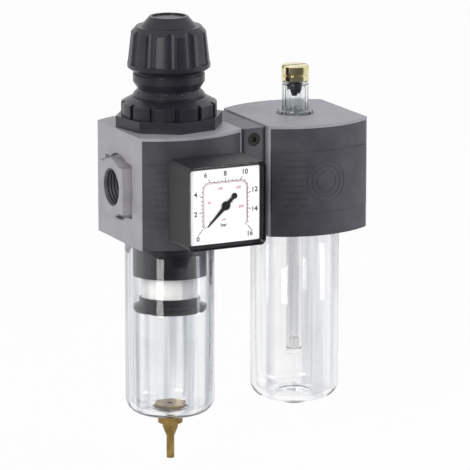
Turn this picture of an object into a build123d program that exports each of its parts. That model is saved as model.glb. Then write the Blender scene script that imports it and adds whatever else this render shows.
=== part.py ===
from build123d import *
import math
import os

os.makedirs("parts", exist_ok=True)

# Filter regulator lubricator, in millimetres.
# Origin: on the inlet port's axis, where its thread begins. +X runs with the air, +Y to the rear.

# Bodies
body_width = 59.5
body_flat_depth = 54.5
body_bulge = 9.5
body_height = 60.4
body_corner = 1.0
body_gap = 15.7
port_drop = 30.9

# Ports, G 1/2 thread modelled at its crest radius
port_radius = 9.32
port_mouth_radius = 10.48
port_thread_length = 14.0
passage_radius = 8.5
sensing_radius = 1.5
boss_height = 4.5
boss_radius = 15.6
boss_ear_width = 30.0
boss_ear_height = 25.0
recess_depth = 2.5
recess_margin = 2.2

# Covers
cover_thickness = 3.0
cover_cheek = 1.2
cover_top_rim = 1.6
panel_rise = 0.6
panel_top_drop = 12.9
panel_bottom_rise = 13.0
ridge_count = 8
ridge_pitch = 3.5
ridge_depth = 0.22
ridge_start = 10.5
ridge_length = 12.5
ring_radii = (5.5, 8.3, 11.0)

# Clearances
fit_gap = 0.15
running_gap = 0.05
seal_gap = 0.02
thread_gap = 0.10

# Coupling between the bodies
clamp_side_gap = 0.4
clamp_top_gap = 0.6
clamp_face_set_back = 1.2
clamp_chamfer = 2.4
clamp_screw_drop = 6.8
clamp_screw_radius = 2.0
clamp_head_radius = 3.5
clamp_head_height = 2.6
clamp_thread_end = 4.0
clamp_key_radius = 1.75
clamp_key_depth = 1.8
seal_section = 2.0
coupling_seal_radius = 11.5

# Bowls
bowl_radius = 24.2
bowl_wall = 3.0
bowl_length = 99.5
bowl_neck_wall = 2.9
socket_radius = 22.7
socket_depth = 14.0
bowl_corner = 8.0
bowl_dish = 2.0
bowl_gap = 0.4
bowl_seal_section = 1.8
bowl_seal_drop = 3.0
lubricator_bowl_length = 99.5
bowl_boss_radius = 8.0
bowl_boss_height = 1.2
bowl_step_radius = 10.3
bowl_step_height = 3.0
bowl_step_wall = 1.3
nut_pad = 1.0

# Filter set
core_radius = 7.0
deflector_gap = 0.4
deflector_length = 20.2
deflector_wall = 2.0
deflector_slots = 12
element_gap = 2.35
element_bore = 8.0
element_visible = 11.5
baffle_cup_wall = 1.25
baffle_cup_height = 3.0
baffle_plate_height = 5.3
filter_bolt_radius = 2.0
bolt_reach = 4.5
bolt_head_radius = 3.8
bolt_head_height = 2.6
slot_width = 3.0
deflector_disc_drop = 5.5
deflector_disc_thickness = 3.0
deflector_neck_wall = 3.0
baffle_floor = 3.0
baffle_rim = 2.5

# Regulator
chamber_radius = 21.0
chamber_depth = 14.0
web_thickness = 4.5
duct_near = 12.0
duct_far = 19.0
duct_half_width = 8.0
piston_stroke = 1.5
piston_height = 10.2
piston_floor = 3.0
piston_wall = 4.2
lip_section = 1.98
lip_height = 2.0
lip_middle = 5.0
seat_hole_radius = 4.0
poppet_radius = 6.0
poppet_thickness = 3.0
poppet_stem_radius = 1.6
poppet_guide_radius = 2.4
guide_length = 10.5
guide_hub_radius = 3.9
guide_hole_radius = 1.1
guide_holes = 8
guide_overlap = 2.0
seat_lip = 0.8
seat_lip_width = 1.0
piston_gap = 0.3

# Bonnet and panel nut, heights above the body
octagon_flat = 53.6
octagon_height = 6.0
octagon_turn = 32.3
spigot_wall = 3.4
spigot_depth = 4.0
nut_radius = 25.5
nut_chamfer = 3.1
nut_top = 15.8
nut_slots = 12
nut_slot_width = 2.6
nut_slot_depth = 1.8
nut_slot_first = 14.5
barrel_radius = 19.0
barrel_top = 17.3
bonnet_waist_radius = 16.6
bonnet_waist_height = 19.8
scallop_count = 12
scallop_radius = 2.0
collar_radius = 19.2
collar_flare_height = 24.0
collar_top = 27.9
collar_bore = 18.1
collar_floor = 24.4
spring_bore = 15.0
spring_bore_top = 17.5

# Adjusting knob, heights above the body
knob_lift = 1.3
knob_gap = 0.2
knob_flange_radius = 22.1
knob_flange_low = 31.6
knob_flange_high = 34.2
knob_low_radius = 21.9
knob_high_radius = 20.1
knob_grip_top = 50.2
knob_shoulder_radius = 17.4
knob_shoulder_top = 53.5
knob_flutes = 12
flute_first = 7.5
flute_radius = 5.0
flute_depth = 1.4
cap_base_radius = 14.8
cap_top_radius = 10.2
cap_top = 58.7
cap_recess_radius = 8.8
cap_recess_depth = 0.8
cap_step = 3.0
cap_spigot = 2.0
knob_hub_wall = 3.5
knob_hollow_step = 0.6
knob_roof = 2.5
dog_teeth = 12
dog_inner_radius = 14.6
dog_rim_gap = 0.5
dog_height = 1.2
dog_width_share = 0.36
dog_gap = 0.2

# Adjusting spindle and main spring
spindle_pitch = 1.5
spindle_turns = 6
spindle_thread_radius = 3.6
spindle_journal_radius = 5.0
spindle_flange_radius = 8.5
spindle_flange_height = 1.8
spindle_hexagon = 8.0
hexagon_length = 20.0
spring_seat_drop = 0.5
spring_seat_key_reach = 1.0
spring_seat_thickness = 3.0
spring_seat_key_width = 3.0
main_spring_radius = 11.4
main_spring_wire = 2.2
main_spring_turns = 4.5
valve_spring_radius = 3.7
valve_spring_wire = 0.7
valve_spring_turns = 5

# Pressure gauge
gauge_size = 44.5
gauge_depth = 27.5
gauge_offset = 1.0
gauge_stand_off = 5.5
gauge_corner = 3.0
block_depth = 8.5
block_half = 5.0
block_high = 6.0
block_overlap = 1.5
gauge_rear_round = 2.5
gauge_wall = 2.0
bezel_depth = 5.0
bezel_lip = 2.5
bezel_edge = 0.4
bezel_ledge = 0.5
window_drop = 0.1
rebate_step = 0.75
case_lip = 1.95
gauge_thread_radius = 6.5
gauge_thread_length = 10.0
thread_runout = 0.5
gauge_neck_radius = 6.0
rebate_corner = 1.5
bezel_inner_corner = 1.0
window_thickness = 1.0
dial_recess = 3.2
dial_thickness = 0.8
pointer_length = 15.0
pointer_tail = 8.5
pointer_thickness = 0.5
pointer_rest_angle = 225.0
works_margin = 1.55
plate_margin = 3.0
sector_ratio = 6.0
sector_swing = 45.0
sector_overrun = 8.0
sector_half = 0.6
sector_hub_radius = 2.2
pinion_half = 2.0
bourdon_wall_gap = 5.05
bourdon_width = 1.8
bourdon_height = 5.0
bourdon_rear_gap = 2.0
bourdon_tip_drop = 3.0
plate_half = 7.0
plate_high = 4.0
plate_thickness = 1.0
stud_length = 1.0
pillar_radius = 0.9
arbor_radius = 0.75
hub_radius = 2.4
pointer_gap = 0.7

# Lubricator top
dome_radius = 7.2
dome_wall = 1.6
dome_height = 17.9
dome_base_radius = 9.6
dome_base_height = 3.2
dome_base_scallops = 8
dome_spigot = 5.0
dome_recess = 1.5
dome_roof = 2.0
dome_ribs = 16
dome_rib_radius = 0.45
dome_scallop_radius = 1.7
dome_seal_section = 1.2
collar_wall = 1.2
collar_height = 4.0
nozzle_drop = 8.5
metering_gap = 0.3
metering_seal_section = 1.0
metering_slot_width = 1.4
metering_slot_depth = 1.6
dome_recess_margin = 0.7
metering_cap_radius = 7.5
metering_cap_height = 8.2
metering_stem_radius = 3.0
metering_pitch = 0.75
metering_turns = 2

# Lubricator inside
riser_radius = 5.0
siphon_radius = 4.2
siphon_bore = 2.6
siphon_clearance = 26.5
strainer_height = 3.0
strainer_spigot = 6.0
strainer_bore = 1.2
oil_bore = 0.9
oil_bore_reach = 2.2
vane_gap = 1.5
vane_thickness = 1.2
vane_bore = 4.5
adapter_spigot = 6.0
ball_bore = 1.0
ball_clearance = 0.3
adapter_gap = 0.75
adapter_thickness = 4.0
check_ball_radius = 1.5

# Drain
drain_nut_radius = 9.5
drain_nut_height = 3.4
drain_collar_radius = 6.8
drain_collar_height = 4.5
drain_knob_radius = 4.2
drain_knob_height = 2.5
drain_taper_height = 5.2
drain_tip_radius = 2.15
drain_tip_length = 12.1
drain_plug_radius = 3.0
drain_sleeve_wall = 2.0
drain_knob_gap = 0.3
drain_seal_section = 1.0
drain_pitch = 1.0
drain_turns = 2
drain_bore = 0.9
drain_seat_radius = 1.5

# Places worked out from the sizes above
z_top = port_drop
z_bottom = port_drop - body_height
boss_face = body_width / 2 + boss_height
port_slant = port_mouth_radius - port_radius
x_regulator = boss_face - port_slant
x_lubricator = x_regulator + body_width + body_gap
bulge_radius = ((body_width / 2) ** 2 + body_bulge ** 2) / (2 * body_bulge)
apex = body_flat_depth / 2 + body_bulge
bulge_centre = bulge_radius - apex
socket_roof = z_bottom + socket_depth
chamber_floor = z_top - chamber_depth
seat_low = chamber_floor - web_thickness
panel_high = z_top - cover_top_rim - panel_top_drop
panel_low = z_bottom + panel_bottom_rise
spigot_radius = chamber_radius + spigot_wall
bowl_neck_radius = socket_radius - running_gap - bowl_neck_wall
deflector_radius = bowl_neck_radius - deflector_gap
adapter_radius = bowl_neck_radius - adapter_gap
element_radius = deflector_radius - deflector_wall - element_gap
baffle_cup_radius = element_radius + running_gap + baffle_cup_wall
dog_outer_radius = collar_bore - dog_rim_gap
gauge_rebate = gauge_size - 2 * bezel_lip + 2 * rebate_step
gauge_inner = gauge_rebate - 2 * case_lip
pinion_radius = (gauge_inner / 2 - works_margin - plate_margin) / (1 + sector_ratio)
bourdon_radius = gauge_inner / 2 - bourdon_wall_gap
gauge_thread_end = -apex + cover_thickness + gauge_thread_length

AT_BASE = (Align.CENTER, Align.CENTER, Align.MIN)
AT_CORNER = (Align.MIN, Align.MIN, Align.MIN)
REGULATOR = Pos(x_regulator, 0, 0)
LUBRICATOR = Pos(x_lubricator, 0, 0)


def disc(radius, low, high, x=0.0, y=0.0):
    """Upright cylinder between two heights."""
    return Pos(x, y, low) * Cylinder(radius, high - low, align=AT_BASE)


def tube(outer, inner, low, high, x=0.0, y=0.0):
    """Upright ring between two heights."""
    return disc(outer, low, high, x, y) - disc(inner, low, high, x, y)


def rod_x(radius, start, end, y=0.0, z=0.0):
    """Cylinder lying along X."""
    return Pos(start, y, z) * Rot(0, 90, 0) * Cylinder(radius, end - start, align=AT_BASE)


def rod_y(radius, start, end, x=0.0, z=0.0):
    """Cylinder lying along Y."""
    return Pos(x, start, z) * Rot(-90, 0, 0) * Cylinder(radius, end - start, align=AT_BASE)


def block(x_span, y_span, z_span):
    """Box between two values on each axis."""
    spans = (x_span, y_span, z_span)
    lengths = [high - low for low, high in spans]
    return Pos(*[low for low, high in spans]) * Box(*lengths, align=AT_CORNER)


def turned(points):
    """Solid of revolution about Z from (radius, height) points."""
    outline = Polyline(*[(radius, 0, height) for radius, height in points], close=True)
    return revolve(make_face(outline), Axis.Z, 360)


def around(shape, count, first=0.0):
    """Copies of a shape, evenly spaced about Z."""
    return [Rot(0, 0, first + 360 * step / count) * shape for step in range(count)]


def seal(ring_radius, section, height):
    """O-ring lying flat."""
    return Pos(0, 0, height) * Torus(ring_radius, section / 2)


def coil(radius, wire, low, high, turns):
    """Round-wire compression spring between two heights."""
    length = high - low - wire
    path = Helix(pitch=length / turns, height=length, radius=radius)
    section = Plane(origin=path @ 0, z_dir=path % 0) * Circle(wire / 2)
    return Pos(0, 0, low + wire / 2) * sweep(section, path=path)


def write_node(name, *shapes):
    """Write one piece, or one group of like pieces, to its own file."""
    solids = [solid for shape in shapes for solid in shape.solids()]
    export_step(Compound(solids), f"parts/{name}.step")


# ---------------------------------------------------------------- bodies and covers

def body_blank():
    """Body outline in plan, flat at the sides and bulging to the front and rear."""
    plan = Rectangle(body_width, 2 * apex)
    plan &= Pos(0, bulge_centre) * Circle(bulge_radius)
    plan &= Pos(0, -bulge_centre) * Circle(bulge_radius)
    plan = fillet(plan.vertices(), body_corner)
    return Pos(0, 0, z_bottom) * extrude(plan, body_height)


def cover_zone(low, high, gap):
    """Space for a front cover: under the bulge, between the two cheeks."""
    half = body_width / 2 - cover_cheek - gap
    front = block((-half, half), (-apex - panel_rise - 1, 0), (low, high))
    return front - disc(bulge_radius - cover_thickness + gap, low, high, y=bulge_centre)


def boss_outline(margin):
    """Port boss outline: a circle joined with a pair of square ears."""
    ears = Rectangle(boss_ear_height + 2 * margin, boss_ear_width + 2 * margin)
    return Circle(boss_radius + margin) + ears


def side_boss(side):
    """Port boss on the +X or -X side, with the recess it stands in: (boss, recess)."""
    turn = Rot(0, 90 * side, 0)
    floor = body_width / 2 - recess_depth
    recess = Pos(side * floor, 0, 0) * turn * extrude(boss_outline(recess_margin), recess_depth + 1)
    boss = Pos(side * floor, 0, 0) * turn * extrude(boss_outline(0), recess_depth + boss_height)
    return boss, recess


def common_body():
    """Casting shared by both units: bosses, cover seats and the bowl's threaded socket."""
    casting = body_blank()
    for side in (-1, 1):
        boss, recess = side_boss(side)
        casting = casting - recess + boss
    seat = cover_zone(z_bottom - 1, z_top - cover_top_rim, 0)
    casting = casting - seat - Rot(0, 0, 180) * seat
    casting -= disc(socket_radius, z_bottom - 1, socket_roof)
    return casting


def port_thread(side):
    """Threaded port and its countersunk mouth, as a cutter on one side."""
    mouth = boss_face
    cutter = rod_x(port_radius, mouth - port_thread_length, mouth)
    countersink = Cone(port_radius, port_mouth_radius, port_slant, align=AT_BASE)
    cutter += Pos(mouth - port_slant, 0, 0) * Rot(0, 90, 0) * countersink
    return cutter if side > 0 else Rot(0, 0, 180) * cutter


def regulator_body():
    """Filter-regulator casting: inlet duct down, valve bore up the middle, outlet duct up."""
    casting = common_body() - port_thread(-1)
    casting -= rod_x(passage_radius, -boss_face, -duct_near)
    casting -= rod_x(passage_radius, duct_near, boss_face)
    width = (-duct_half_width, duct_half_width)
    casting -= block((-duct_far, -duct_near), width, (socket_roof - 1, passage_radius))
    casting -= block((duct_near, duct_far), width, (-passage_radius, chamber_floor + 1))
    casting -= disc(core_radius, socket_roof - 1, chamber_floor + 1)
    casting -= disc(chamber_radius, chamber_floor, z_top + 1)
    casting -= disc(spigot_radius + thread_gap, z_top - spigot_depth, z_top + 1)
    casting -= rod_y(gauge_thread_radius + thread_gap, -apex, gauge_thread_end, x=gauge_offset)
    duct_middle = (duct_near + duct_far) / 2
    sensing_y = gauge_thread_end - 2 * sensing_radius
    casting -= rod_x(sensing_radius, gauge_offset, duct_middle, y=sensing_y)
    casting -= rod_y(sensing_radius, sensing_y, -duct_half_width + 1, x=duct_middle)
    return casting


def lubricator_body():
    """Lubricator casting: straight passage, with one upright bore for the riser."""
    casting = common_body() - port_thread(1)
    casting -= rod_x(passage_radius, -boss_face, boss_face)
    casting -= disc(riser_radius + fit_gap, socket_roof - 1, z_top + 1)
    casting -= disc(dome_radius + thread_gap, z_top - dome_spigot, z_top + 1)
    casting -= disc(dome_base_radius + dome_recess_margin, z_top - dome_recess, z_top + 1)
    return casting


def plain_cover():
    """Curved cover with a slightly raised middle panel."""
    top = z_top - cover_top_rim - fit_gap
    shell = cover_zone(z_bottom, top, fit_gap) & disc(bulge_radius, z_bottom, top, y=bulge_centre)
    raised = disc(bulge_radius + panel_rise, panel_low, panel_high, y=bulge_centre)
    return shell + (cover_zone(panel_low, panel_high, fit_gap) & raised)


def cover_ridges():
    """Cutter for the row of fine horizontal lines at the left of the panel."""
    surface = bulge_radius + panel_rise
    middle = (panel_low + panel_high) / 2
    first = middle - ridge_pitch * (ridge_count - 1) / 2
    span = (-ridge_start - ridge_length, -ridge_start)
    lines = []
    for step in range(ridge_count):
        height = first + step * ridge_pitch
        line = block(span, (-apex - 2, 0), (height - 0.5, height + 0.5))
        lines.append(line - disc(surface - ridge_depth, height - 1, height + 1, y=bulge_centre))
    return lines


def cover_rings():
    """Cutter for the concentric rings that mark the blank gauge position."""
    surface = bulge_radius + panel_rise
    rings = []
    for radius in ring_radii:
        ring = rod_y(radius + 0.4, -apex - 2, 0) - rod_y(radius - 0.4, -apex - 2, 0)
        rings.append(ring - disc(surface - ridge_depth, -2 * radius, 2 * radius, y=bulge_centre))
    return rings


def make_bodies():
    """Both castings with their front and rear covers."""
    write_node("filter_regulator_body", REGULATOR * regulator_body())
    write_node("lubricator_body", LUBRICATOR * lubricator_body())
    front = plain_cover() - cover_ridges()
    gauge_hole = rod_y(gauge_thread_radius + 1.5, -apex - 2, 0, x=gauge_offset)
    write_node("regulator_front_cover", REGULATOR * (front - gauge_hole))
    write_node("lubricator_front_cover", LUBRICATOR * (front - cover_rings()))
    rear = Rot(0, 0, 180) * plain_cover()
    write_node("regulator_rear_cover", REGULATOR * rear)
    write_node("lubricator_rear_cover", LUBRICATOR * rear)


# ---------------------------------------------------------------- coupling

def make_coupling():
    """Spacer, seals and the two-part clamp that joins the bodies."""
    middle = Pos(x_regulator + (body_width + body_gap) / 2, 0, 0)
    spacer_half = body_gap / 2 - boss_height
    spacer = Pos(-spacer_half, 0, 0) * Rot(0, 90, 0) * extrude(boss_outline(0), 2 * spacer_half)
    spacer -= rod_x(passage_radius, -spacer_half - 1, spacer_half + 1)
    groove_depth = seal_section - seal_gap
    seals = []
    for side in (-1, 1):
        turn = Rot(0, 90 * side, 0)
        groove = tube(
            coupling_seal_radius + seal_section / 2 + seal_gap,
            coupling_seal_radius - seal_section / 2 - seal_gap,
            spacer_half - groove_depth,
            spacer_half + 1,
        )
        spacer -= turn * groove
        seals.append(turn * seal(coupling_seal_radius, groove_depth, spacer_half - groove_depth / 2))
    write_node("coupling_spacer", middle * spacer)
    write_node("coupling_seals", *[middle * ring for ring in seals])

    half = body_gap / 2 - clamp_side_gap
    face = body_flat_depth / 2 - clamp_face_set_back
    low = z_bottom + clamp_top_gap
    high = z_top - clamp_top_gap
    split = fit_gap
    window = Pos(-half - 1, 0, 0) * Rot(0, 90, 0) * extrude(boss_outline(fit_gap), 2 * half + 2)
    clamp = block((-half, half), (-face, -split), (low, high)) - window
    outer_edges = clamp.edges().filter_by(Axis.Z).group_by(Axis.Y)[0]
    clamp = chamfer(outer_edges, clamp_chamfer)
    heights = (low + clamp_screw_drop - clamp_top_gap, high - clamp_screw_drop + clamp_top_gap)
    screws = []
    front = clamp
    rear = Rot(0, 0, 180) * clamp
    end = face - clamp_thread_end
    for height in heights:
        front -= rod_y(clamp_screw_radius + thread_gap, -face - 1, 0, z=height)
        front -= rod_y(clamp_head_radius + fit_gap, -face - 1, -face + clamp_head_height, z=height)
        rear -= rod_y(clamp_screw_radius + thread_gap, -1, end, z=height)
        screw = rod_y(clamp_screw_radius, -face, end - 1, z=height)
        screw += rod_y(clamp_head_radius, -face + 0.2, -face + clamp_head_height, z=height)
        key = extrude(RegularPolygon(clamp_key_radius, 6), clamp_key_depth)
        screw -= Pos(0, -face, height) * Rot(-90, 0, 0) * key
        screws.append(middle * screw)
    write_node("coupling_front_clamp", middle * front)
    write_node("coupling_rear_clamp", middle * rear)
    write_node("coupling_screws", *screws)


# ---------------------------------------------------------------- bonnet and knob

def bonnet():
    """Octagonal flange, threaded barrel, waist with scallops and a flared collar."""
    octagon = extrude(RegularPolygon(octagon_flat / 2, 8, major_radius=False), octagon_height)
    body = Pos(0, 0, z_top) * Rot(0, 0, octagon_turn) * octagon
    body += turned([
        (0, z_top + octagon_height),
        (barrel_radius, z_top + octagon_height),
        (barrel_radius, z_top + barrel_top),
        (bonnet_waist_radius, z_top + bonnet_waist_height),
        (collar_radius, z_top + collar_flare_height),
        (collar_radius, z_top + collar_top),
        (0, z_top + collar_top),
    ])
    scallop = Pos(barrel_radius, 0, z_top + bonnet_waist_height) * Sphere(scallop_radius)
    body -= around(scallop, scallop_count)
    body -= disc(spring_bore, z_top - 1, z_top + spring_bore_top)
    body -= disc(collar_bore, z_top + collar_floor, z_top + collar_top + 1)
    body -= disc(spindle_journal_radius + running_gap, z_top, z_top + collar_top)
    body += tube(spigot_radius, chamber_radius, z_top - spigot_depth, z_top)
    key_reach = spring_bore + spring_seat_key_reach + 0.2
    key_half = spring_seat_key_width / 2 + fit_gap
    keyway = block((-key_reach, key_reach), (-key_half, key_half), (z_top - 1, z_top + spring_bore_top))
    body -= keyway
    body += dog_ring(z_top + collar_floor, 180 / dog_teeth)
    return body


def dog_ring(low, first):
    """Ring of square locking teeth standing between two radii."""
    ring = tube(dog_outer_radius, dog_inner_radius, low, low + dog_height)
    width = 2 * math.pi * dog_inner_radius / dog_teeth * dog_width_share
    tooth = block((0, dog_outer_radius + 1), (-width / 2, width / 2), (low, low + dog_height))
    return [ring & copy for copy in around(tooth, dog_teeth, first)]


def panel_nut():
    """Slotted ring nut on the bonnet's barrel."""
    low = z_top + octagon_height
    chamfer_low = z_top + nut_top - nut_chamfer
    inner = barrel_radius + thread_gap
    nut = turned([
        (inner, low),
        (nut_radius, low),
        (nut_radius, chamfer_low),
        (inner + 0.8, z_top + nut_top),
        (inner, z_top + nut_top),
    ])
    half = nut_slot_width / 2
    slot = block((nut_radius - nut_slot_depth, nut_radius + 1), (-half, half), (low - 1, z_top + nut_top))
    return nut - around(slot, nut_slots, nut_slot_first)


def knob():
    """Fluted adjusting knob with a hexagon socket and locking teeth underneath."""
    skirt = z_top + collar_top + knob_lift + knob_gap
    sleeve_low = z_top + collar_floor + dog_height + dog_gap + dog_height
    hub = spindle_hexagon / 2 + knob_hub_wall
    body = turned([
        (0, sleeve_low),
        (collar_bore - fit_gap, sleeve_low),
        (collar_bore - fit_gap, skirt),
        (collar_radius, skirt),
        (knob_flange_radius, z_top + knob_flange_low),
        (knob_flange_radius, z_top + knob_flange_high),
        (knob_low_radius, z_top + knob_flange_high),
        (knob_high_radius, z_top + knob_grip_top),
        (knob_shoulder_radius, z_top + knob_shoulder_top),
        (0, z_top + knob_shoulder_top),
    ])
    slope = math.degrees(math.atan2(knob_low_radius - knob_high_radius, knob_grip_top - knob_flange_high))
    reach = knob_low_radius + flute_radius - flute_depth
    cutter = Cylinder(flute_radius, 2 * knob_grip_top, align=AT_BASE)
    flute = Pos(reach, 0, z_top + knob_flange_high) * Rot(0, -slope, 0) * cutter
    body -= around(flute, knob_flutes, flute_first)
    hollow_top = z_top + knob_grip_top - knob_roof
    body -= tube(dog_inner_radius - knob_hollow_step, hub, sleeve_low - 1, hollow_top)
    socket = extrude(RegularPolygon(spindle_hexagon / 2 + fit_gap, 6, major_radius=False), hexagon_length + 2)
    body -= Pos(0, 0, sleeve_low) * socket
    cap_seat = z_top + knob_shoulder_top
    body -= disc(cap_base_radius - cap_step, cap_seat - cap_spigot, cap_seat + 1)
    body += dog_ring(sleeve_low - dog_height, 0)
    return body


def knob_cap():
    """Conical cap with a shallow dish on top, snapped into the knob."""
    base = z_top + knob_shoulder_top
    cap = turned([
        (0, base - cap_spigot),
        (cap_base_radius - cap_step - fit_gap, base - cap_spigot),
        (cap_base_radius - cap_step - fit_gap, base),
        (cap_base_radius, base),
        (cap_top_radius, z_top + cap_top),
        (0, z_top + cap_top),
    ])
    return cap - disc(cap_recess_radius, z_top + cap_top - cap_recess_depth, z_top + cap_top + 1)


def spindle():
    """Adjusting screw: hexagon, journal, thrust flange and left-hand thread."""
    flange_top = z_top + spring_bore_top - running_gap
    flange_low = flange_top - spindle_flange_height
    hexagon_low = z_top + collar_floor + 0.2
    thread_low = flange_low - spring_seat_thickness - spindle_pitch * spindle_turns - 2
    stem = turned([
        (0, thread_low),
        (spindle_thread_radius, thread_low),
        (spindle_thread_radius, flange_low),
        (spindle_flange_radius, flange_low),
        (spindle_flange_radius, flange_top),
        (spindle_journal_radius, flange_top),
        (spindle_journal_radius, hexagon_low),
        (0, hexagon_low),
    ])
    hexagon = extrude(RegularPolygon(spindle_hexagon / 2, 6, major_radius=False), hexagon_length)
    return stem + Pos(0, 0, hexagon_low) * hexagon


def spring_seat_high():
    """Height of the spring seat's upper face with the knob backed right off."""
    return z_top + spring_bore_top - spindle_flange_height - spring_seat_drop


def spring_seat():
    """Keyed nut that runs down the spindle and presses the main spring."""
    high = spring_seat_high()
    low = high - spring_seat_thickness
    seat = disc(spring_bore - fit_gap, low, high)
    key_half = spring_seat_key_width / 2
    reach = spring_bore + spring_seat_key_reach
    seat += block((-reach, reach), (-key_half, key_half), (low, high))
    return seat - disc(spindle_thread_radius + running_gap, low - 1, high + 1)


def piston_low():
    """Height of the piston's underside with the valve shut."""
    return z_top - fit_gap - piston_height


def piston():
    """Regulating piston: a cup with the main spring inside and a lip-seal groove."""
    low = piston_low()
    high = low + piston_height
    radius = chamber_radius - piston_gap
    cup = disc(radius, low, high) - disc(radius - piston_wall, low + piston_floor, high + 1)
    half = lip_height / 2 + thread_gap
    groove_inner = chamber_radius - lip_section - seal_gap
    return cup - tube(radius + 1, groove_inner, low + lip_middle - half, low + lip_middle + half)


def make_regulator():
    """Bonnet, knob, spindle, piston and the valve under it."""
    write_node("bonnet", REGULATOR * bonnet())
    write_node("panel_nut", REGULATOR * panel_nut())
    write_node("adjusting_knob", REGULATOR * knob())
    write_node("knob_cap", REGULATOR * knob_cap())
    write_node("adjusting_spindle", REGULATOR * spindle())
    write_node("spring_seat", REGULATOR * spring_seat())
    spring_low = piston_low() + piston_floor
    spring_high = spring_seat_high() - spring_seat_thickness
    main = coil(main_spring_radius, main_spring_wire, spring_low, spring_high, main_spring_turns)
    write_node("main_spring", REGULATOR * main)
    write_node("regulating_piston", REGULATOR * piston())
    lip_low = piston_low() + lip_middle - lip_height / 2
    lip = tube(chamber_radius - seal_gap, chamber_radius - lip_section, lip_low, lip_low + lip_height)
    write_node("piston_seal", REGULATOR * lip)

    seat = tube(core_radius, seat_hole_radius, seat_low, chamber_floor)
    seat += tube(seat_hole_radius + seat_lip_width, seat_hole_radius, seat_low - seat_lip, seat_low)
    write_node("valve_seat", REGULATOR * seat)
    poppet_top = seat_low - seat_lip
    poppet_base = poppet_top - poppet_thickness
    guide_high = socket_roof + guide_length
    stem_low = guide_high - guide_overlap
    poppet = disc(poppet_radius, poppet_base, poppet_top)
    poppet += disc(poppet_stem_radius, poppet_top, piston_low() - running_gap)
    poppet += disc(poppet_guide_radius, stem_low, poppet_base)
    write_node("valve_poppet", REGULATOR * poppet)
    spring = coil(valve_spring_radius, valve_spring_wire, guide_high, poppet_base, valve_spring_turns)
    write_node("valve_spring", REGULATOR * spring)
    guide = disc(core_radius - running_gap, socket_roof, guide_high)
    guide -= disc(poppet_guide_radius + running_gap, stem_low - piston_stroke - 1, guide_high + 1)
    guide -= disc(filter_bolt_radius + thread_gap, socket_roof - 1, socket_roof + bolt_reach + 0.5)
    hole_reach = (core_radius + guide_hub_radius) / 2
    hole = disc(guide_hole_radius, socket_roof - 1, guide_high + 1, x=hole_reach)
    write_node("valve_guide", REGULATOR * (guide - around(hole, guide_holes)))


# ---------------------------------------------------------------- filter set and bowls

def make_filter_set():
    """Air deflector, filter element and the baffle under them."""
    skirt_low = z_bottom - deflector_length
    disc_high = socket_roof - deflector_disc_drop
    disc_low = disc_high - deflector_disc_thickness
    deflector = tube(deflector_radius, deflector_radius - deflector_wall, skirt_low, disc_high)
    deflector += tube(deflector_radius, core_radius, disc_low, disc_high)
    deflector += tube(core_radius + deflector_neck_wall, core_radius, disc_low, socket_roof)
    slot_reach = (element_radius + 2 * fit_gap, deflector_radius - deflector_wall)
    slot = block(slot_reach, (-slot_width / 2, slot_width / 2), (disc_low - 1, disc_high + 1))
    deflector -= around(slot, deflector_slots)
    write_node("deflector", REGULATOR * deflector)

    element_low = skirt_low - element_visible - baffle_cup_height
    element = tube(element_radius, element_bore, element_low, disc_low)
    write_node("filter_element", REGULATOR * element)

    cup_low = element_low
    plate_low = cup_low - baffle_plate_height
    baffle = turned([
        (filter_bolt_radius + thread_gap, plate_low + baffle_floor),
        (deflector_radius - baffle_rim - 1, plate_low + baffle_floor),
        (deflector_radius - baffle_rim, plate_low),
        (deflector_radius - 0.8, plate_low),
        (deflector_radius, plate_low + 1.5),
        (deflector_radius, cup_low - 1.5),
        (baffle_cup_radius, cup_low),
        (baffle_cup_radius, cup_low + baffle_cup_height),
        (element_radius + running_gap, cup_low + baffle_cup_height),
        (element_radius + running_gap, cup_low),
        (filter_bolt_radius + thread_gap, cup_low),
    ])
    notch = block((deflector_radius - 2.2, deflector_radius + 1), (-2, 2), (plate_low - 1, plate_low + 2))
    write_node("filter_baffle", REGULATOR * (baffle - around(notch, 4, 30)))
    bolt_low = plate_low + baffle_floor
    bolt = disc(filter_bolt_radius, bolt_low, socket_roof + bolt_reach)
    head = extrude(RegularPolygon(bolt_head_radius, 6), bolt_head_height)
    write_node("filter_bolt", REGULATOR * (bolt + Pos(0, 0, bolt_low - bolt_head_height) * head))


def bowl(length):
    """Clear bowl: sealed neck, straight wall and a dished bottom with round corners."""
    neck_outer = socket_radius - running_gap
    neck_inner = bowl_neck_radius
    neck_high = socket_roof - bowl_gap
    rim = z_bottom - bowl_gap
    low = z_bottom - length
    inner_radius = bowl_radius - bowl_wall
    inner_corner = bowl_corner - bowl_wall
    corner_x = bowl_radius - bowl_corner
    corner_z = low + bowl_dish + bowl_corner
    diagonal = math.sqrt(0.5)
    with BuildSketch(Plane.XZ) as profile:
        with BuildLine():
            Line((0, low), (corner_x, low + bowl_dish))
            ThreePointArc(
                (corner_x, low + bowl_dish),
                (corner_x + bowl_corner * diagonal, corner_z - bowl_corner * diagonal),
                (bowl_radius, corner_z),
            )
            Polyline(
                (bowl_radius, corner_z),
                (bowl_radius, rim),
                (neck_outer, rim),
                (neck_outer, neck_high),
                (neck_inner, neck_high),
                (neck_inner, rim - 2),
                (inner_radius, rim - 5),
                (inner_radius, corner_z),
            )
            ThreePointArc(
                (inner_radius, corner_z),
                (corner_x + inner_corner * diagonal, corner_z - inner_corner * diagonal),
                (corner_x, low + bowl_dish + bowl_wall),
            )
            Polyline(
                (corner_x, low + bowl_dish + bowl_wall),
                (0, low + bowl_wall),
                (0, low),
            )
        make_face()
    shape = revolve(profile.sketch, Axis.Z, 360)
    groove_radius = bowl_seal_ring_radius() - bowl_seal_section / 2 - seal_gap
    groove_half = bowl_seal_section / 2 + running_gap
    height = socket_roof - bowl_gap - bowl_seal_drop
    return shape - tube(bowl_radius + 1, groove_radius, height - groove_half, height + groove_half)


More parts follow.
